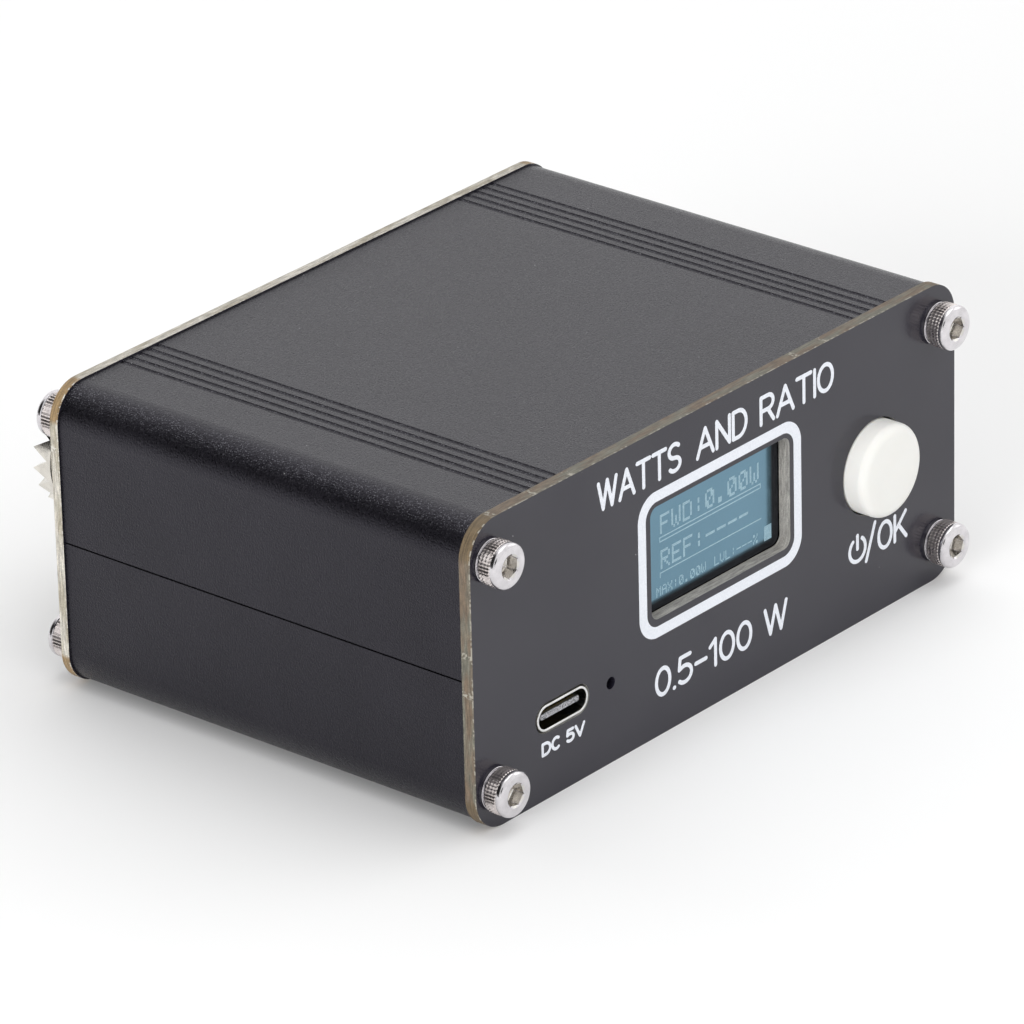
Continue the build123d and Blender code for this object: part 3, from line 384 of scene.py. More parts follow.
def nickel_finish(name, tint, roughness):
    """Bright plated metal with faint brushing and cloudiness."""
    finish = Finish(name, Metallic=1.0)
    cloud = finish.noise(1.2, 3.0)
    scratches = finish.noise(0.12, 2.0, stretch=(1, 6, 1))
    darker = [c * 0.78 for c in tint]
    finish.set("Base Color", finish.blend(finish.remap(cloud, 0.3, 0.75), tint, darker))
    finish.set("Roughness", finish.remap(cloud, 0.3, 0.7, roughness - 0.05, roughness + 0.08))
    finish.bump(scratches, 0.0015)
    finish.bump(finish.noise(0.28, 2.0), 0.009)
    return finish


def cap_finish():
    """Off-white moulded plastic that lets a little light in, its sides painted paler as painted light.
    """
    finish = Finish("cap_plastic")
    cloud = finish.noise(3.0, 2.0)
    fine = finish.noise(0.2, 2.0)
    # Painted light: the face gets the darker colour and the sides a paler one, blended by how far the
    # surface turns from the front.
    face = finish.blend(cloud, (0.785, 0.780, 0.748), (0.820, 0.815, 0.782))
    sides = finish.blend(cloud, (0.875, 0.870, 0.838), (0.910, 0.905, 0.872))
    painted_side_light = finish.remap(finish.facing("Y"), -0.55, -0.05)
    finish.set("Base Color", finish.blend(painted_side_light, face, sides))
    finish.set("Roughness", finish.remap(fine, 0.3, 0.7, 0.30, 0.38))
    finish.set("Subsurface Weight", 0.15)
    finish.set("Subsurface Radius", (0.0012, 0.0010, 0.0008))
    finish.bump(fine, 0.0015)
    return finish


def tongue_finish():
    """The port's tongue: black moulding with a painted highlight, pale streaks along its front edge.
    """
    finish = Finish("tongue_moulding")
    streaks = finish.noise(0.2, 2.0, stretch=(1, 3, 1))
    tip = box_mm("usb_tongue")[0].y
    # Painted highlight: pale streaks painted into the colour close to the tongue's tip.
    near_tip = finish.remap(finish.axis("Y"), tip + 0.16, tip + 0.06)
    painted_tip_highlight = finish.math("MULTIPLY", near_tip, finish.remap(streaks, 0.38, 0.60))
    finish.set("Base Color", finish.blend(painted_tip_highlight, (0.022, 0.022, 0.024), (0.50, 0.50, 0.53)))
    finish.set("Roughness", finish.remap(streaks, 0.3, 0.7, 0.3, 0.45))
    finish.bump(streaks, 0.01)
    return finish


def glass_finish():
    """The blue-grey face of the display, which mirrors the room, with painted shade: a dark band
    painted on its right side and at its bottom, standing in for the shade of the window's walls."""
    finish = Finish("display_face", Metallic=1.0)
    cloud = finish.noise(5.0, 2.0)
    fine = finish.noise(0.17, 0.0)
    # Painted shade: dark colour painted beyond the right and bottom lines, for the window's walls.
    right = finish.remap(finish.axis("X"), PAINTED_SHADE_X, PAINTED_SHADE_X - 0.5)
    below = finish.remap(finish.axis("Z"), PAINTED_SHADE_Z - 0.4, PAINTED_SHADE_Z + 0.3)
    face = finish.blend(cloud, (0.122, 0.238, 0.316), (0.136, 0.258, 0.342))
    inside = finish.math("MULTIPLY", right, below)
    finish.set("Base Color", finish.blend(inside, (0.028, 0.032, 0.044), face))
    finish.set("Roughness", finish.remap(fine, 0.2, 0.8, 0.15, 0.19))
    finish.set("Coat Weight", 0.3)
    finish.set("Coat Roughness", 0.05)
    return finish


def pixel_finish():
    """Lit display pixels, slightly uneven from one to the next."""
    finish = Finish("lit_pixels")
    fine = finish.noise(0.4, 1.0)
    glow = finish.blend(finish.remap(fine, 0.3, 0.7), (0.26, 0.42, 0.50), (0.34, 0.52, 0.60))
    finish.set("Base Color", (0.02, 0.03, 0.04))
    finish.set("Emission Color", glow)
    finish.set("Emission Strength", 0.85)
    finish.set("Roughness", finish.remap(fine, 0.3, 0.7, 0.3, 0.4))
    return finish


def board_finish():
    """Green solder mask with darker bare areas between paler traces."""
    finish = Finish("green_board")
    run = finish.add("TexBrick", {
        "Vector": finish.stretched(3.1, (1, 1, 1)),
        "Color1": (0.020, 0.115, 0.055, 1), "Color2": (0.026, 0.14, 0.065, 1),
        "Mortar": (0.012, 0.065, 0.032, 1), "Scale": 1.0, "Mortar Size": 0.04,
    })
    finish.set("Base Color", run.outputs["Color"])
    finish.set("Roughness", finish.remap(finish.noise(0.6), 0.3, 0.7, 0.28, 0.4))
    finish.bump(run.outputs["Fac"], 0.03)
    return finish


def lacquer_finish():
    """Enamelled copper wire: amber red lacquer with bright streaks along the turns."""
    finish = Finish("enamel", Metallic=1.0)
    streak = finish.noise(0.3, 2.0)
    turns = finish.remap(streak, 0.3, 0.7)
    finish.set("Base Color", finish.blend(turns, (0.45, 0.13, 0.035), (0.62, 0.24, 0.07)))
    finish.set("Roughness", finish.remap(streak, 0.3, 0.7, 0.2, 0.32))
    finish.set("Coat Weight", 0.5)
    finish.bump(streak, 0.01)
    return finish


def foil_finish():
    """A pouch cell's laminated foil, softly dimpled."""
    finish = Finish("foil", Metallic=1.0)
    dimples = finish.noise(2.2, 3.0)
    finish.set("Base Color", finish.blend(dimples, (0.60, 0.60, 0.59), (0.74, 0.74, 0.72)))
    finish.set("Roughness", finish.remap(dimples, 0.3, 0.7, 0.3, 0.45))
    finish.bump(dimples, 0.15)
    return finish


def make_finishes():
    """Every finish by the record's material slot, then those that are on no whole CAD node."""
    def plastic(name, dark, light, roughness=0.42):
        return plain_finish(name, dark, light, roughness, 0.25, 0.004)

    def metal(name, dark, light, roughness=0.28):
        return plain_finish(name, dark, light, roughness, 0.2, 0.003, Metallic=1.0)

    return {
        "anodised_case": anodised_finish(),
        "panel_board": mask_finish(),
        "screw_nickel": nickel_finish("screw_plating", (0.77, 0.745, 0.765), 0.17),
        "button_white": cap_finish(),
        "switch_black": plastic("switch_moulding", (0.022, 0.022, 0.022), (0.032, 0.032, 0.033)),
        "sheet_steel": metal("tinned_sheet", (0.52, 0.52, 0.50), (0.64, 0.64, 0.62)),
        "display_glass": glass_finish(),
        "ribbon_amber": plastic("polyimide", (0.42, 0.20, 0.03), (0.52, 0.27, 0.05), 0.3),
        "board_green": board_finish(),
        "pin_gold": metal("gold_flash", (0.78, 0.55, 0.20), (0.86, 0.64, 0.28), 0.2),
        "usb_steel": nickel_finish("port_plating", (0.84, 0.84, 0.83), 0.14),
        "tongue_black": tongue_finish(),
        "chip_black": plastic("epoxy_body", (0.016, 0.016, 0.016), (0.026, 0.026, 0.026), 0.55),
        "led_clear": plastic("diffused_epoxy", (0.70, 0.67, 0.55), (0.80, 0.77, 0.66), 0.3),
        "ceramic_tan": plastic("fired_ceramic", (0.34, 0.24, 0.13), (0.45, 0.33, 0.20), 0.5),
        "crystal_can": metal("drawn_can", (0.58, 0.58, 0.56), (0.68, 0.68, 0.66), 0.24),
        "diode_glass": plastic("bead_glass", (0.50, 0.13, 0.04), (0.62, 0.20, 0.07), 0.12),
        "battery_foil": foil_finish(),
        "foam_grey": plain_finish("foam", (0.08, 0.08, 0.08), (0.14, 0.14, 0.14), 0.85, 0.5, 0.12),
        "wire_red": plastic("red_sleeve", (0.42, 0.02, 0.015), (0.52, 0.035, 0.025), 0.4),
        "wire_black": plastic("black_sleeve", (0.015, 0.015, 0.015), (0.024, 0.024, 0.024), 0.4),
        "plug_white": plastic("nylon", (0.72, 0.70, 0.60), (0.80, 0.78, 0.70), 0.45),
        "socket_nickel": nickel_finish("socket_plating", (0.80, 0.765, 0.70), 0.20),
        "socket_insulator": plastic("fluoropolymer", (0.74, 0.73, 0.68), (0.82, 0.81, 0.77), 0.5),
        "contact_plated": metal("contact_plating", (0.66, 0.55, 0.30), (0.76, 0.66, 0.42), 0.22),
        "ferrite_grey": plain_finish(
            "ferrite", (0.035, 0.035, 0.036), (0.07, 0.07, 0.07), 0.6, 0.35, 0.02),
        "enamel_wire": lacquer_finish(),
        "copper_line": metal("bare_copper", (0.60, 0.26, 0.12), (0.72, 0.38, 0.20), 0.3),
        "front_edge": fibre_finish(
            "front_fibre", brown=(0.134, 0.099, 0.069), grey=(0.136, 0.130, 0.103),
            flecked=(0.34, 0.32, 0.27), scorched=(0.120, 0.088, 0.052),
            front=FRONT_FACE, scars=FRONT_SCARS),
        "rear_edge": fibre_finish(
            "rear_fibre", brown=(0.32, 0.290, 0.230), grey=(0.48, 0.455, 0.405),
            flecked=(0.56, 0.54, 0.49), scorched=(0.24, 0.165, 0.085),
            front=REAR_FACE - REAR_THICKNESS, scars=REAR_SCARS),
        "recess": nickel_finish("screw_recess", (0.78, 0.755, 0.72), 0.15),
        "knurl": nickel_finish("screw_knurl", (0.83, 0.765, 0.745), 0.28),
        "ink": ink_finish(),
        "pixels": pixel_finish(),
    }


# ---- CAD nodes that stay -------------------------------------------------------------------
LAMP_HOLE_REACH = 1.6
PANEL_SOFTNESS = 0.05
SHELL_SOFTNESS = 0.12
NUT_SOFTNESS = 0.25
ANY_MATERIAL = -1
EDGE_MATERIAL = 1


def add_bevel(node, width, segments=2, material=ANY_MATERIAL):
    """Rounds the sharp edges of a CAD node by width mm."""
    bevel = node.modifiers.new("soft_edges", "BEVEL")
    bevel.width = width * MM
    bevel.segments = segments
    bevel.limit_method = "ANGLE"
    bevel.angle_limit = math.radians(35)
    bevel.harden_normals = False
    bevel.use_clamp_overlap = True
    bevel.material = material


def dress_cad_nodes(finishes):
    """Gives every CAD node the finish of its material slot."""
    for row in frame["record"]["subparts"]:
        node = NODES[row["node"]]
        node.data.materials.clear()
        node.data.materials.append(finishes[row["material_slot"]].material)


def dress_panel(name, edge_finish):
    """A panel's two faces keep the solder mask, and its edges and cut-outs show the bare board."""
    mesh = NODES[name].data
    mesh.materials.append(edge_finish.material)
    low, high = box_mm("charge_led")
    lamp_x = (low.x + high.x) / 2
    lamp_z = (low.z + high.z) / 2
    for face in mesh.polygons:
        centre = face.center / MM
        in_lamp_hole = math.hypot(centre.x - lamp_x, centre.z - lamp_z) < LAMP_HOLE_REACH
        masked = abs(face.normal.y) > 0.9 or in_lamp_hole
        face.material_index = 0 if masked else EDGE_MATERIAL
    add_bevel(NODES[name], PANEL_SOFTNESS, 1, EDGE_MATERIAL)


# ---- Mesh helpers --------------------------------------------------------------------------
def add_piece(name, mesh, finish, body, location=(0, 0, 0)):
    """A new piece of the object, in metres, that rides on a body and takes the finish it is given."""
    piece = bpy.data.objects.new(name, mesh)
    bpy.context.scene.collection.objects.link(piece)
    if not mesh.materials:
        mesh.materials.append(finish.material)
    piece.location = Vector(location) * MM
    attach(piece, body)
    return piece


def turned_rings(bm, rows, angles):
    """One ring of vertices round the Y axis for each row, a function of the angle that gives the
    radius and the place along Y, in mm."""
    rings = []
    for row in rows:
        radius, along = row(angles)
        radius = np.broadcast_to(radius, angles.shape)
        along = np.broadcast_to(along, angles.shape)
        points = np.stack([radius * np.cos(angles), along, radius * np.sin(angles)], axis=1) * MM
        rings.append([bm.verts.new(p) for p in points])
    return rings


def join_rings(bm, rings, next_rings):
    """Faces between each ring and the one after it."""
    for ring, after in zip(rings, next_rings):
        for i in range(len(ring)):
            k = (i + 1) % len(ring)
            bm.faces.new((ring[i], ring[k], after[k], after[i]))


def round_mesh(name, rows, columns, smooth_angle):
    """A closed mesh round the Y axis whose first and last rows are each drawn together to a point."""
    bm = bmesh.new()
    rings = turned_rings(bm, rows, np.arange(columns) * 2 * math.pi / columns)
    join_rings(bm, rings, rings[1:])
    for ring in (rings[0], rings[-1]):
        centre = bm.verts.new(sum((v.co for v in ring), Vector()) / columns)
        for i in range(columns):
            bm.faces.new((ring[i], centre, ring[(i + 1) % columns]))
    return mesh_from(name, bm, smooth_angle)


def tube_mesh(name, rows, first, columns, smooth_angle):
    """A closed mesh round the Y axis whose last row joins its first, for a part with a hole through
    it. Its columns start at the first angle."""
    bm = bmesh.new()
    rings = turned_rings(bm, rows, first + np.arange(columns) * 2 * math.pi / columns)
    join_rings(bm, rings, rings[1:] + rings[:1])
    return mesh_from(name, bm, smooth_angle)


def mesh_from(name, bm, smooth_angle):
    """Finishes a bmesh: outward faces, smooth except over sharp edges."""
    bmesh.ops.recalc_face_normals(bm, faces=bm.faces)
    for face in bm.faces:
        face.smooth = True
    sharp = math.radians(smooth_angle)
    for edge in bm.edges:
        edge.smooth = len(edge.link_faces) == 2 and edge.calc_face_angle() < sharp
    mesh = bpy.data.meshes.new(name)
    bm.to_mesh(mesh)
    bm.free()
    return mesh


def circle(radius, along):
    """A plain circular row of a round mesh."""
    return lambda angles: (radius, along)


# ---- Printed legends -----------------------------------------------------------------------
def arc(cx, cz, rx, rz, start, end, steps=12):
    """Points of an elliptical arc, in a glyph's own units."""
    turns = [math.radians(start + (end - start) * i / steps) for i in range(steps + 1)]
    return [(cx + rx * math.cos(t), cz + rz * math.sin(t)) for t in turns]


# Each glyph is its width and its strokes, in units of the letter height
GLYPHS = {
    "A": (0.84, [[(0, 0), (0.42, 1), (0.84, 0)], [(0.15, 0.34), (0.69, 0.34)]]),
    "C": (0.66, [arc(0.36, 0.5, 0.36, 0.5, 52, 308)]),
    "D": (0.70, [[(0.28, 0), (0, 0), (0, 1), (0.28, 1)] + arc(0.28, 0.5, 0.42, 0.5, 90, -90)]),
    "I": (0.0, [[(0, 0), (0, 1)]]),
    "K": (0.68, [[(0, 0), (0, 1)], [(0.64, 1), (0, 0.36)], [(0.22, 0.58), (0.68, 0)]]),
    "N": (0.68, [[(0, 0), (0, 1), (0.68, 0), (0.68, 1)]]),
    "O": (0.76, [arc(0.38, 0.5, 0.38, 0.5, 0, 360, 24)]),
    "R": (0.66, [
        [(0, 0), (0, 1), (0.38, 1)] + arc(0.38, 0.74, 0.26, 0.26, 90, -90) + [(0, 0.48)],
        [(0.36, 0.48), (0.66, 0)],
    ]),
    "S": (0.66, [arc(0.33, 0.745, 0.32, 0.255, 38, 270) + arc(0.33, 0.245, 0.33, 0.245, 90, -145)]),
    "T": (0.74, [[(0, 1), (0.74, 1)], [(0.37, 1), (0.37, 0)]]),
    "V": (0.78, [[(0, 1), (0.39, 0), (0.78, 1)]]),
    "W": (1.04, [[(0, 1), (0.26, 0), (0.52, 1), (0.78, 0), (1.04, 1)]]),
    "0": (0.64, [arc(0.32, 0.5, 0.32, 0.5, 0, 360, 24)]),
    "1": (0.30, [[(0, 0.78), (0.26, 1), (0.26, 0)]]),
    "5": (0.62, [[(0.56, 1), (0.08, 1), (0.03, 0.56)] + arc(0.29, 0.32, 0.33, 0.32, 125, -140)]),
    ".": (0.02, [[(0, 0), (0.02, 0)]]),
    "-": (0.50, [[(0, 0.46), (0.5, 0.46)]]),
    " ": (0.30, []),
}
LETTER_GAP = 0.20


def lay_out(text, left, right, bottom, top):
    """The strokes of a line of text, fitted between the given limits of their centre lines."""
    wide = sum(GLYPHS[c][0] for c in text) + LETTER_GAP * (len(text) - 1)
    across = (right - left) / wide
    tall = top - bottom
    strokes = []
    start = 0.0
    for c in text:
        width, paths = GLYPHS[c]
        for path in paths:
            strokes.append([(left + (start + x) * across, bottom + z * tall) for x, z in path])
        start += width + LETTER_GAP
    return strokes


def stroke_distance(strokes, x, z):
    """Distance from each point to the nearest stroke."""
    nearest = np.full(x.shape, 1e9)
    for path in strokes:
        for (ax, az), (bx, bz) in zip(path, path[1:]):
            dx, dz = bx - ax, bz - az
            share = ((x - ax) * dx + (z - az) * dz) / max(dx * dx + dz * dz, 1e-12)
            share = np.clip(share, 0, 1)
            nearest = np.minimum(nearest, np.hypot(x - ax - share * dx, z - az - share * dz))
    return nearest


def rounded_distance(x, z, left, right, bottom, top, radius):
    """Signed distance to a rectangle with round corners, negative inside."""
    over_x = np.abs(x - (left + right) / 2) - (right - left) / 2 + radius
    over_z = np.abs(z - (bottom + top) / 2) - (top - bottom) / 2 + radius
    outside = np.hypot(np.maximum(over_x, 0), np.maximum(over_z, 0))
    return outside + np.minimum(np.maximum(over_x, over_z), 0) - radius


INK_STEP = 0.11
INK_HEIGHT = 0.025
# Outer limits of the printed lines: left and right of each word, bottom and top of the line
TITLE_WORDS = [("WATTS", -22.0, -7.0), ("AND", -4.4, 5.0), ("RATIO", 7.2, 21.0)]
TITLE_LINE = (31.7, 35.5)
TITLE_STROKE = 0.52
RANGE_ENDS = (-12.4, 12.0)
RANGE_LINE = (4.7, 8.5)
# Limits of the small lines' centre lines: left, right, bottom, top
PORT_LIMITS = (-32.4, -25.1, 5.65, 7.05)
PORT_STROKE = 0.38
BUTTON_WORD_LIMITS = (29.3, 34.6, 7.85, 11.15)
BUTTON_SLASH = [(26.9, 7.4), (28.6, 11.8)]
POWER_SIGN_X = 25.25
POWER_SIGN_Z = 9.5
POWER_SIGN_RADIUS = 1.5
BUTTON_STROKE = 0.5
# The printed frame's outer and inner outlines: left, right, bottom, top and corner radius
FRAME_OUTER = (-14.95, 14.76, 12.43, 30.67, 3.2)
FRAME_INNER = (-13.57, 13.39, 13.80, 29.35, 2.0)


def print_ink(name, distance, left, right, bottom, top, finish):
    """A thin closed layer on the front face wherever distance(x, z) is negative."""
    xs = np.arange(left - 1, right + 1, INK_STEP)
    zs = np.arange(bottom - 1, top + 1, INK_STEP)
    field = distance(*np.meshgrid(xs, zs, indexing="ij"))
    inside = field < 0
    bm = bmesh.new()
    made = {}

    def vertex(key, x, z):
        if key not in made:
            made[key] = bm.verts.new(Vector((x, FRONT_FACE - INK_HEIGHT, z)) * MM)
        return made[key]

    def crossing(a, b):
        share = field[a] / (field[a] - field[b])
        x = xs[a[0]] + share * (xs[b[0]] - xs[a[0]])
        z = zs[a[1]] + share * (zs[b[1]] - zs[a[1]])
        return vertex(frozenset((a, b)), x, z)

    touched = inside[:-1, :-1] | inside[1:, :-1] | inside[:-1, 1:] | inside[1:, 1:]
    for i, k in np.argwhere(touched):
        corners = [(i, k), (i + 1, k), (i + 1, k + 1), (i, k + 1)]
        ring = []
        for a, b in zip(corners, corners[1:] + corners[:1]):
            if inside[a]:
                ring.append(vertex(a, xs[a[0]], zs[a[1]]))
            if inside[a] != inside[b]:
                ring.append(crossing(a, b))
        bm.faces.new(ring)
    bmesh.ops.remove_doubles(bm, verts=bm.verts, dist=INK_STEP * MM * 0.05)
    bmesh.ops.dissolve_limit(bm, angle_limit=math.radians(1.5), verts=bm.verts, edges=bm.edges)
    walls = bmesh.ops.extrude_face_region(bm, geom=bm.faces[:])
    base = [v for v in walls["geom"] if isinstance(v, bmesh.types.BMVert)]
    bmesh.ops.translate(bm, verts=base, vec=(0, INK_HEIGHT * MM, 0))
    return add_piece(name, mesh_from(name, bm, 20), finish, "case")


def print_text(name, strokes, width, finish):
    """Prints strokes of the given width."""
    points = [p for path in strokes for p in path]
    xs = [p[0] for p in points]
    zs = [p[1] for p in points]

    def distance(x, z):
        return stroke_distance(strokes, x, z) - width / 2

    print_ink(name, distance, min(xs), max(xs), min(zs), max(zs), finish)


def print_legends(finish):
    """The legends, with plain words in place of the original ones, and the frame round the window."""
    half = TITLE_STROKE / 2

    def within(text, left, right, bottom, top):
        return lay_out(text, left + half, right - half, bottom + half, top - half)

    title = [stroke for word in TITLE_WORDS for stroke in within(*word, *TITLE_LINE)]
    print_text("legend_title", title, TITLE_STROKE, finish)
    watts = within("0.5-100 W", *RANGE_ENDS, *RANGE_LINE)
    print_text("legend_range", watts, TITLE_STROKE, finish)
    print_text("legend_port", lay_out("DC 5V", *PORT_LIMITS), PORT_STROKE, finish)
    ring = arc(POWER_SIGN_X, POWER_SIGN_Z, POWER_SIGN_RADIUS, POWER_SIGN_RADIUS, 125, 415, 24)
    bar = [(POWER_SIGN_X, POWER_SIGN_Z + 0.1), (POWER_SIGN_X, POWER_SIGN_Z + 1.8)]
    word = lay_out("OK", *BUTTON_WORD_LIMITS)
    print_text("legend_button", [ring, bar, BUTTON_SLASH] + word, BUTTON_STROKE, finish)

    def window_frame(x, z):
        outer = rounded_distance(x, z, *FRAME_OUTER)
        inner = rounded_distance(x, z, *FRAME_INNER)
        return np.maximum(outer, -inner)

    print_ink("legend_window_frame", window_frame, *FRAME_OUTER[:4], finish)


# ---- Display content -----------------------------------------------------------------------
PIXEL = 0.17
PIXEL_COLUMNS = 128
PIXEL_ROWS = 64
PIXEL_FILL = 0.86
PIXEL_HEIGHT = 0.01
SCREEN_MIDDLE = 21.1
# Dot patterns of the characters, five dots wide and seven rows tall from the top
DOTS = {
    "A": ".###. #...# #...# ##### #...# #...# #...#",
    "D": "####. #...# #...# #...# #...# #...# ####.",
    "E": "##### #.... #.... ####. #.... #.... #####",
    "F": "##### #.... #.... ####. #.... #.... #....",
    "L": "#.... #.... #.... #.... #.... #.... #####",
    "M": "#...# ##.## #.#.# #.#.# #...# #...# #...#",
    "R": "####. #...# #...# ####. #.#.. #..#. #...#",
    "V": "#...# #...# #...# #...# #...# .#.#. ..#..",
    "W": "#...# #...# #...# #.#.# #.#.# #.#.# .#.#.",
    "X": "#...# #...# .#.#. ..#.. .#.#. #...# #...#",
    "0": ".###. #..## #..## #.#.# ##..# ##..# .###.",
    ":": "..... ..#.. ..#.. ..... ..#.. ..#.. .....",
    ".": "..... ..... ..... ..... ..... .##.. .##..",
    "-": "..... ..... ..... ##### ..... ..... .....",
    "%": "##..# ##..# ...#. ..#.. .#... #..## #..##",
}
DOT_ROWS = 7
DOT_ADVANCE = 6
# The display's lines of text: their first column, lowest row and pixels per dot
SCREEN_LINES = [
    ("FWD:0.00W", 6, 48, 2),
    ("REF:----", 6, 22, 2),
    ("MAX:0.00W", 1, 3, 1),
    ("LVL:---%", 63, 3, 1),
]
# Its lit blocks, as columns and rows: an empty bar under the first line, a rule under the second
# with a short drop at its left end, and a full block in the corner
SCREEN_BLOCKS = [
    (5, 114, 42, 43),
    (5, 114, 45, 46),
    (5, 6, 42, 46),
    (113, 114, 42, 46),
    (5, 114, 19, 20),
    (5, 6, 16, 20),
    (117, 125, 1, 12),
]


def type_dots(lit, text, column, row, scale):
    """Lights a line of text from its lower left pixel, each dot scale pixels wide."""
    for i, character in enumerate(text):
        for k, dots in enumerate(DOTS[character].split()):
            for j, dot in enumerate(dots):
                x = column + (i * DOT_ADVANCE + j) * scale
                z = row + (DOT_ROWS - 1 - k) * scale
                lit[x:x + scale, z:z + scale] |= dot == "#"


def screen_pixels():
    """Which pixels are lit, by column from the left and row from the bottom."""
    lit = np.zeros((PIXEL_COLUMNS, PIXEL_ROWS), dtype=bool)
    for line in SCREEN_LINES:
        type_dots(lit, *line)
    for left, right, bottom, top in SCREEN_BLOCKS:
        lit[left:right, bottom:top] = True
    return lit


def add_screen(finish):
    """Lit pixels on the glass, each run of a row as one small closed bar."""
    low, high = box_mm("display_glass")
    centre_x = (low.x + high.x) / 2
    left = centre_x - PIXEL_COLUMNS * PIXEL / 2
    bottom = SCREEN_MIDDLE - PIXEL_ROWS * PIXEL / 2
    lit = screen_pixels()
    gap = (1 - PIXEL_FILL) / 2 * PIXEL
    bm = bmesh.new()
    for row in range(PIXEL_ROWS):
        column = 0
        while column < PIXEL_COLUMNS:
            if not lit[column, row]:
                column += 1
                continue
            start = column
            while column < PIXEL_COLUMNS and lit[column, row]:
                column += 1
            x = left + start * PIXEL + gap
            low_corner = Vector((x, low.y - PIXEL_HEIGHT, bottom + row * PIXEL + gap))
            size = Vector(((column - start) * PIXEL - 2 * gap, PIXEL_HEIGHT, PIXEL - 2 * gap))
            scale = Matrix.Diagonal((*(size * MM), 1))
            place = Matrix.Translation((low_corner + size / 2) * MM) @ scale
            bmesh.ops.create_cube(bm, size=1.0, matrix=place)
    add_piece("screen_pixels", mesh_from("screen_pixels", bm, 20), finish, "case")


# ---- Screws --------------------------------------------------------------------------------
HEAD_RADIUS = 2.75
HEAD_HEIGHT = 3.0
HEAD_CORNER = 0.55
KNURL_RIDGES = 42
KNURL_DEPTH = 0.11
KNURL_CROSSES = 3
KNURL_CROSS_DEPTH = 0.034
KNURL_STEPS = 18
KNURL_START = -0.50
KNURL_END = -2.14
KNURL_LEAD = 0.10
FOOT_RADIUS = 2.55
WAIST_RADIUS = 2.40
HEX_APOTHEM = 1.25
HEX_DEPTH = 1.7
SHANK_RADIUS = 1.5
SHANK_LENGTH = 8.0
SHANK_PITCH = 0.5
SCREW_TURNS = (12, 37, 51, 8, 25, 44, 3, 31)


def knurled(radius, along, depth):
    """A row with straight rounded ridges."""
    def row(angles):
        groove = 0.5 + 0.5 * np.cos(KNURL_RIDGES * angles)
        return radius - depth * groove, along
    return row


def hexagon(apothem, along):
    """A six-sided row."""
    def row(angles):
        turn = np.mod(angles, math.pi / 3) - math.pi / 6
        return apothem / np.cos(turn), along
    return row


def thread_rows(radius, depth, pitch, start, end, steps):
    """Rows of a screw thread along Y, faded out at both ends."""
    rows = []
    count = int(round((end - start) / pitch * steps))
    for i in range(count + 1):
        along = start + (end - start) * i / count
        fade = min(1.0, (along - start) / pitch, (end - along) / pitch)

        def row(angles, along=along, fade=fade):
            phase = np.mod(along / pitch - angles / (2 * math.pi), 1.0)
            ridge = 1 - np.abs(2 * phase - 1)
            ridge = np.clip(1.25 * ridge, 0, 1)
            return radius - depth + depth * ridge * max(fade, 0.0), along
        rows.append(row)
    return rows


def screw_mesh():
    """A socket-head cap screw whose head faces -Y, with its seat at the origin."""
    top = -HEAD_HEIGHT
    head = [
        circle(0.8, 0.0),
        circle(FOOT_RADIUS - 0.04, 0.0),
        circle(FOOT_RADIUS, -0.04),
        circle(FOOT_RADIUS, -0.10),
        circle(FOOT_RADIUS - 0.05, -0.14),
        circle(WAIST_RADIUS, -0.15),
        circle(WAIST_RADIUS, -0.44),
        circle(HEAD_RADIUS - KNURL_DEPTH, KNURL_START),
    ]
    first, last = KNURL_START - KNURL_LEAD, KNURL_END + KNURL_LEAD
    for i in range(KNURL_STEPS + 1):
        share = i / KNURL_STEPS
        dip = KNURL_CROSS_DEPTH * (0.5 - 0.5 * math.cos(2 * math.pi * KNURL_CROSSES * share))
        head.append(knurled(HEAD_RADIUS - dip, first + (last - first) * share, KNURL_DEPTH))
    head += [
        circle(HEAD_RADIUS - KNURL_DEPTH, KNURL_END),
        circle(HEAD_RADIUS - KNURL_DEPTH, KNURL_END - 0.03),
        circle(HEAD_RADIUS - 0.02, KNURL_END - 0.11),
        circle(HEAD_RADIUS, KNURL_END - 0.18),
    ]
    for i in range(1, 9):
        turn = math.radians(90 * i / 8)
        radius = HEAD_RADIUS - HEAD_CORNER * (1 - math.cos(turn))
        head.append(circle(radius, top + HEAD_CORNER * (1 - math.sin(turn))))
    head += [
        circle(HEX_APOTHEM * 1.22, top),
        circle(HEX_APOTHEM * 1.20, top + 0.02),
        hexagon(HEX_APOTHEM, top + 0.16),
        hexagon(HEX_APOTHEM, top + HEX_DEPTH - 0.1),
        hexagon(HEX_APOTHEM * 0.93, top + HEX_DEPTH),
        circle(HEX_APOTHEM * 0.72, top + HEX_DEPTH + 0.05),
        circle(0.12, top + HEX_DEPTH + 0.38),
    ]
    mesh = round_mesh("screw_head", head, KNURL_RIDGES * 6, 30)
    shank = [circle(0.5, -0.3), circle(SHANK_RADIUS - 0.1, -0.3)]
    shank += thread_rows(SHANK_RADIUS, 0.27, SHANK_PITCH, 0.0, SHANK_LENGTH - 0.3, 6)
    shank += [circle(SHANK_RADIUS - 0.5, SHANK_LENGTH)]
    return joined_mesh("socket_screw", [mesh, round_mesh("screw_shank", shank, 36, 40)])


def joined_mesh(name, parts):
    """Several closed meshes as one, each keeping its own sharp edges."""
    bm = bmesh.new()
    for part in parts:
        bm.from_mesh(part)
        bpy.data.meshes.remove(part)
    joined = bpy.data.meshes.new(name)
    bm.to_mesh(joined)
    bm.free()
    return joined


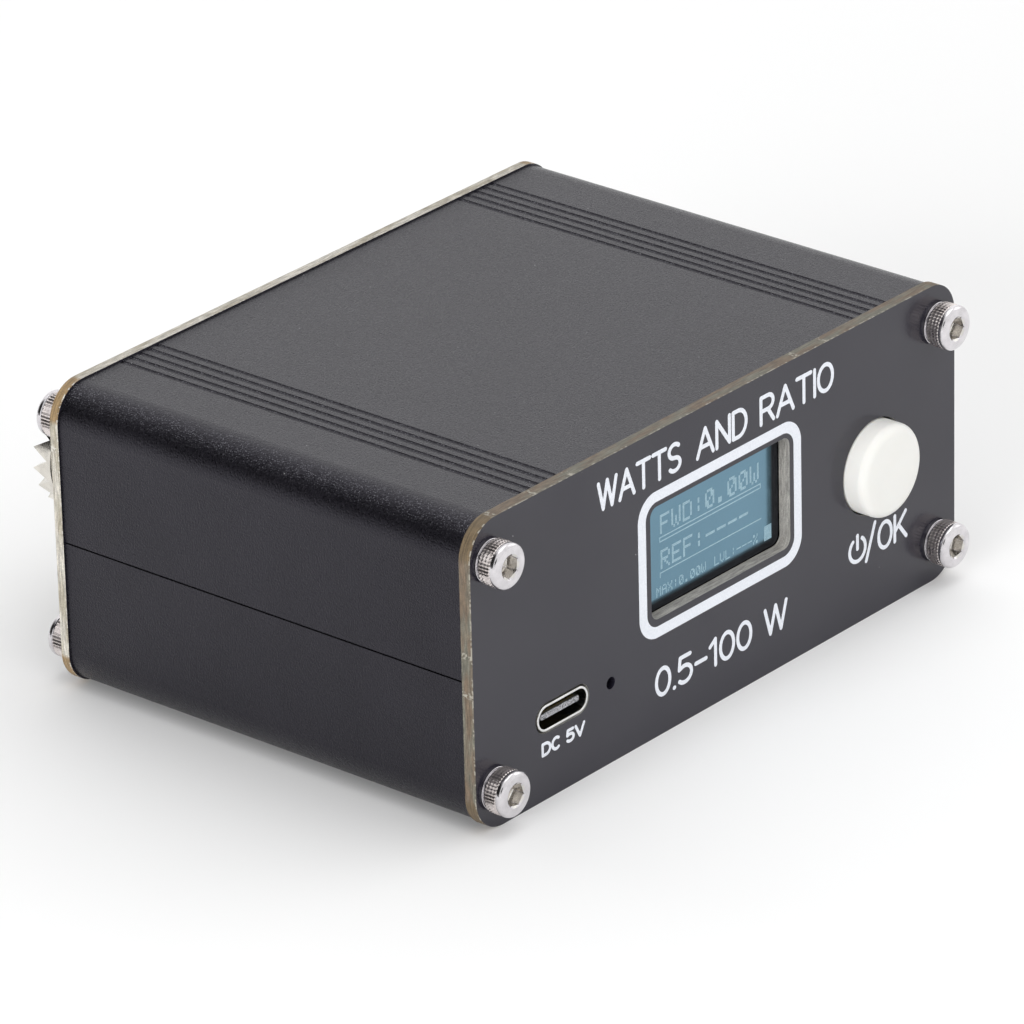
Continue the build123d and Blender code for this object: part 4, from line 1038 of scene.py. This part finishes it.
def add_screws(finish, recess_finish, knurl_finish):
    """Eight screws, each turned its own way, in place of the two CAD groups."""
    mesh = screw_mesh()
    for each in (finish, recess_finish, knurl_finish):
        mesh.materials.append(each.material)
    for face in mesh.polygons:
        centre = face.center / MM
        radius = math.hypot(centre.x, centre.z)
        sunk = -HEAD_HEIGHT + 0.05 < centre.y < -HEAD_HEIGHT + HEX_DEPTH + 0.5
        if sunk and radius < HEX_APOTHEM * 1.12:
            face.material_index = 1
        elif KNURL_END < centre.y < KNURL_START and radius > WAIST_RADIUS:
            face.material_index = 2
    low, high = box_mm("front_screws")
    low = low + Vector((HEAD_RADIUS, 0, HEAD_RADIUS))
    high = high - Vector((HEAD_RADIUS, 0, HEAD_RADIUS))
    spots = [(x, z) for x in (low.x, high.x) for z in (low.z, high.z)]
    turns = iter(SCREW_TURNS)
    for side, seat, flip in (("front", FRONT_FACE, 0), ("rear", REAR_FACE, 180)):
        for i, (x, z) in enumerate(spots):
            piece = bpy.data.objects.new(f"{side}_screw_{i + 1}", mesh)
            bpy.context.scene.collection.objects.link(piece)
            place = Matrix.Translation(Vector((x, seat, z)) * MM)
            face = Matrix.Rotation(math.radians(flip), 4, "Z")
            turn = Matrix.Rotation(math.radians(next(turns)), 4, "Y")
            piece.matrix_world = place @ face @ turn
            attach(piece, "case")
            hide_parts(f"{side}_screws")


# ---- Rear sockets --------------------------------------------------------------------------
THREAD_PITCH = 25.4 / 24
THREAD_DEPTH = 0.55
TOOTH_COUNT = 18
TOOTH_DEPTH = 2.25
MOUTH_RADIUS = 6.3
MOUTH_DEPTH = 4.3
BORE_RADIUS = 5.0
BARREL_RADIUS = 7.94
SEAT_RADIUS = 7.75
RIM_RADIUS = 7.55
TOOTH_TURN = 5.4
COLUMNS_PER_TOOTH = 10
FLANGE_THICKNESS = 2.0
FLANGE_CHAMFER = 0.15


def rim_end(end):
    """The rim's place along Y round the barrel: V-notches between pointed teeth."""
    def along(angles):
        phase = np.mod((angles - math.radians(TOOTH_TURN)) * TOOTH_COUNT / (2 * math.pi), 1.0)
        return end - TOOTH_DEPTH * (1 - np.abs(2 * phase - 1))
    return along


def socket_mesh(name, low, high):
    """A UHF socket's shell round the Y axis, from its inner flange to its toothed rim and back
    through its bore."""
    flange = (high.x - low.x) / 2
    seat = low.y + FLANGE_THICKNESS
    end = rim_end(high.y)
    root = high.y - TOOTH_DEPTH - 0.1
    thread = thread_rows(BARREL_RADIUS, THREAD_DEPTH, THREAD_PITCH, REAR_FACE + 0.4, root - 0.5, 8)
    rows = [
        circle(flange - FLANGE_CHAMFER, low.y),
        circle(flange, low.y + FLANGE_CHAMFER),
        circle(flange, seat - FLANGE_CHAMFER),
        circle(flange - FLANGE_CHAMFER, seat),
        circle(SEAT_RADIUS, seat),
        circle(SEAT_RADIUS, REAR_FACE + 0.3),
        *thread,
        circle(RIM_RADIUS, root - 0.4),
        circle(RIM_RADIUS, root),
        lambda angles: (RIM_RADIUS, end(angles)),
        lambda angles: (MOUTH_RADIUS, end(angles)),
        circle(MOUTH_RADIUS, root),
        circle(MOUTH_RADIUS, high.y - MOUTH_DEPTH),
        circle(BORE_RADIUS, high.y - MOUTH_DEPTH),
        circle(BORE_RADIUS, low.y),
    ]
    # The first column is on a tooth's tip, so that every tip is sharp
    return tube_mesh(name, rows, math.radians(TOOTH_TURN), TOOTH_COUNT * COLUMNS_PER_TOOTH, 32)


def add_sockets(finish):
    """Threaded, toothed shells in place of the plain CAD ones."""
    for side in ("left", "right"):
        node = f"{side}_socket_body"
        low, high = box_mm(node)
        centre = ((low.x + high.x) / 2, 0, (low.z + high.z) / 2)
        name = f"{side}_socket_shell"
        piece = add_piece(name, socket_mesh(name, low, high), finish, "case", centre)
        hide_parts(node)


# ---- Push button ---------------------------------------------------------------------------
CAP_EDGE = 1.3
CAP_EDGE_FLATNESS = 0.8
CAP_CROWN = 0.10
CAP_WALL = 1.2
CAP_FACE_THICKNESS = 1.6
CAP_STEM_RADIUS = 2.6


def add_cap(finish):
    """The moulded cap: a softly crowned face, a rounded edge and straight sides, hollow behind."""
    low, high = box_mm("button_cap")
    radius = (high.x - low.x) / 2
    centre = ((low.x + high.x) / 2, 0, (low.z + high.z) / 2)
    flat = radius - CAP_EDGE
    rows = []
    for i in range(1, 9):
        share = i / 8
        rows.append(circle(flat * share, low.y + CAP_CROWN * share ** 2))
    for i in range(1, 11):
        turn = math.radians(90 * i / 10)
        drop = CAP_EDGE * CAP_EDGE_FLATNESS * (1 - math.cos(turn))
        rows.append(circle(flat + CAP_EDGE * math.sin(turn), low.y + CAP_CROWN + drop))
    rows += [
        circle(radius, high.y - 0.1),
        circle(radius - 0.1, high.y),
        circle(radius - CAP_WALL + 0.1, high.y),
        circle(radius - CAP_WALL, low.y + CAP_FACE_THICKNESS),
        circle(CAP_STEM_RADIUS, low.y + CAP_FACE_THICKNESS),
    ]
    mesh = round_mesh("moulded_cap", rows, 128, 30)
    piece = add_piece("moulded_cap", mesh, finish, "button", centre)
    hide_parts("button_cap")


# ---- Putting it together -------------------------------------------------------------------
bpy.context.scene.view_settings.view_transform = "Standard"
add_camera()
add_world()
add_floor()
for light_row in LIGHTS:
    add_area_light(*light_row)

finishes = make_finishes()
dress_cad_nodes(finishes)
dress_panel("front_panel", finishes["front_edge"])
dress_panel("rear_panel", finishes["rear_edge"])
add_bevel(NODES["upper_shell"], SHELL_SOFTNESS)
add_bevel(NODES["lower_shell"], SHELL_SOFTNESS)
add_bevel(NODES["left_socket_nut"], NUT_SOFTNESS)
add_bevel(NODES["right_socket_nut"], NUT_SOFTNESS)
print_legends(finishes["ink"])
add_screen(finishes["pixels"])
add_screws(finishes["screw_nickel"], finishes["recess"], finishes["knurl"])
add_sockets(finishes["socket_nickel"])
add_cap(finishes["button_white"])
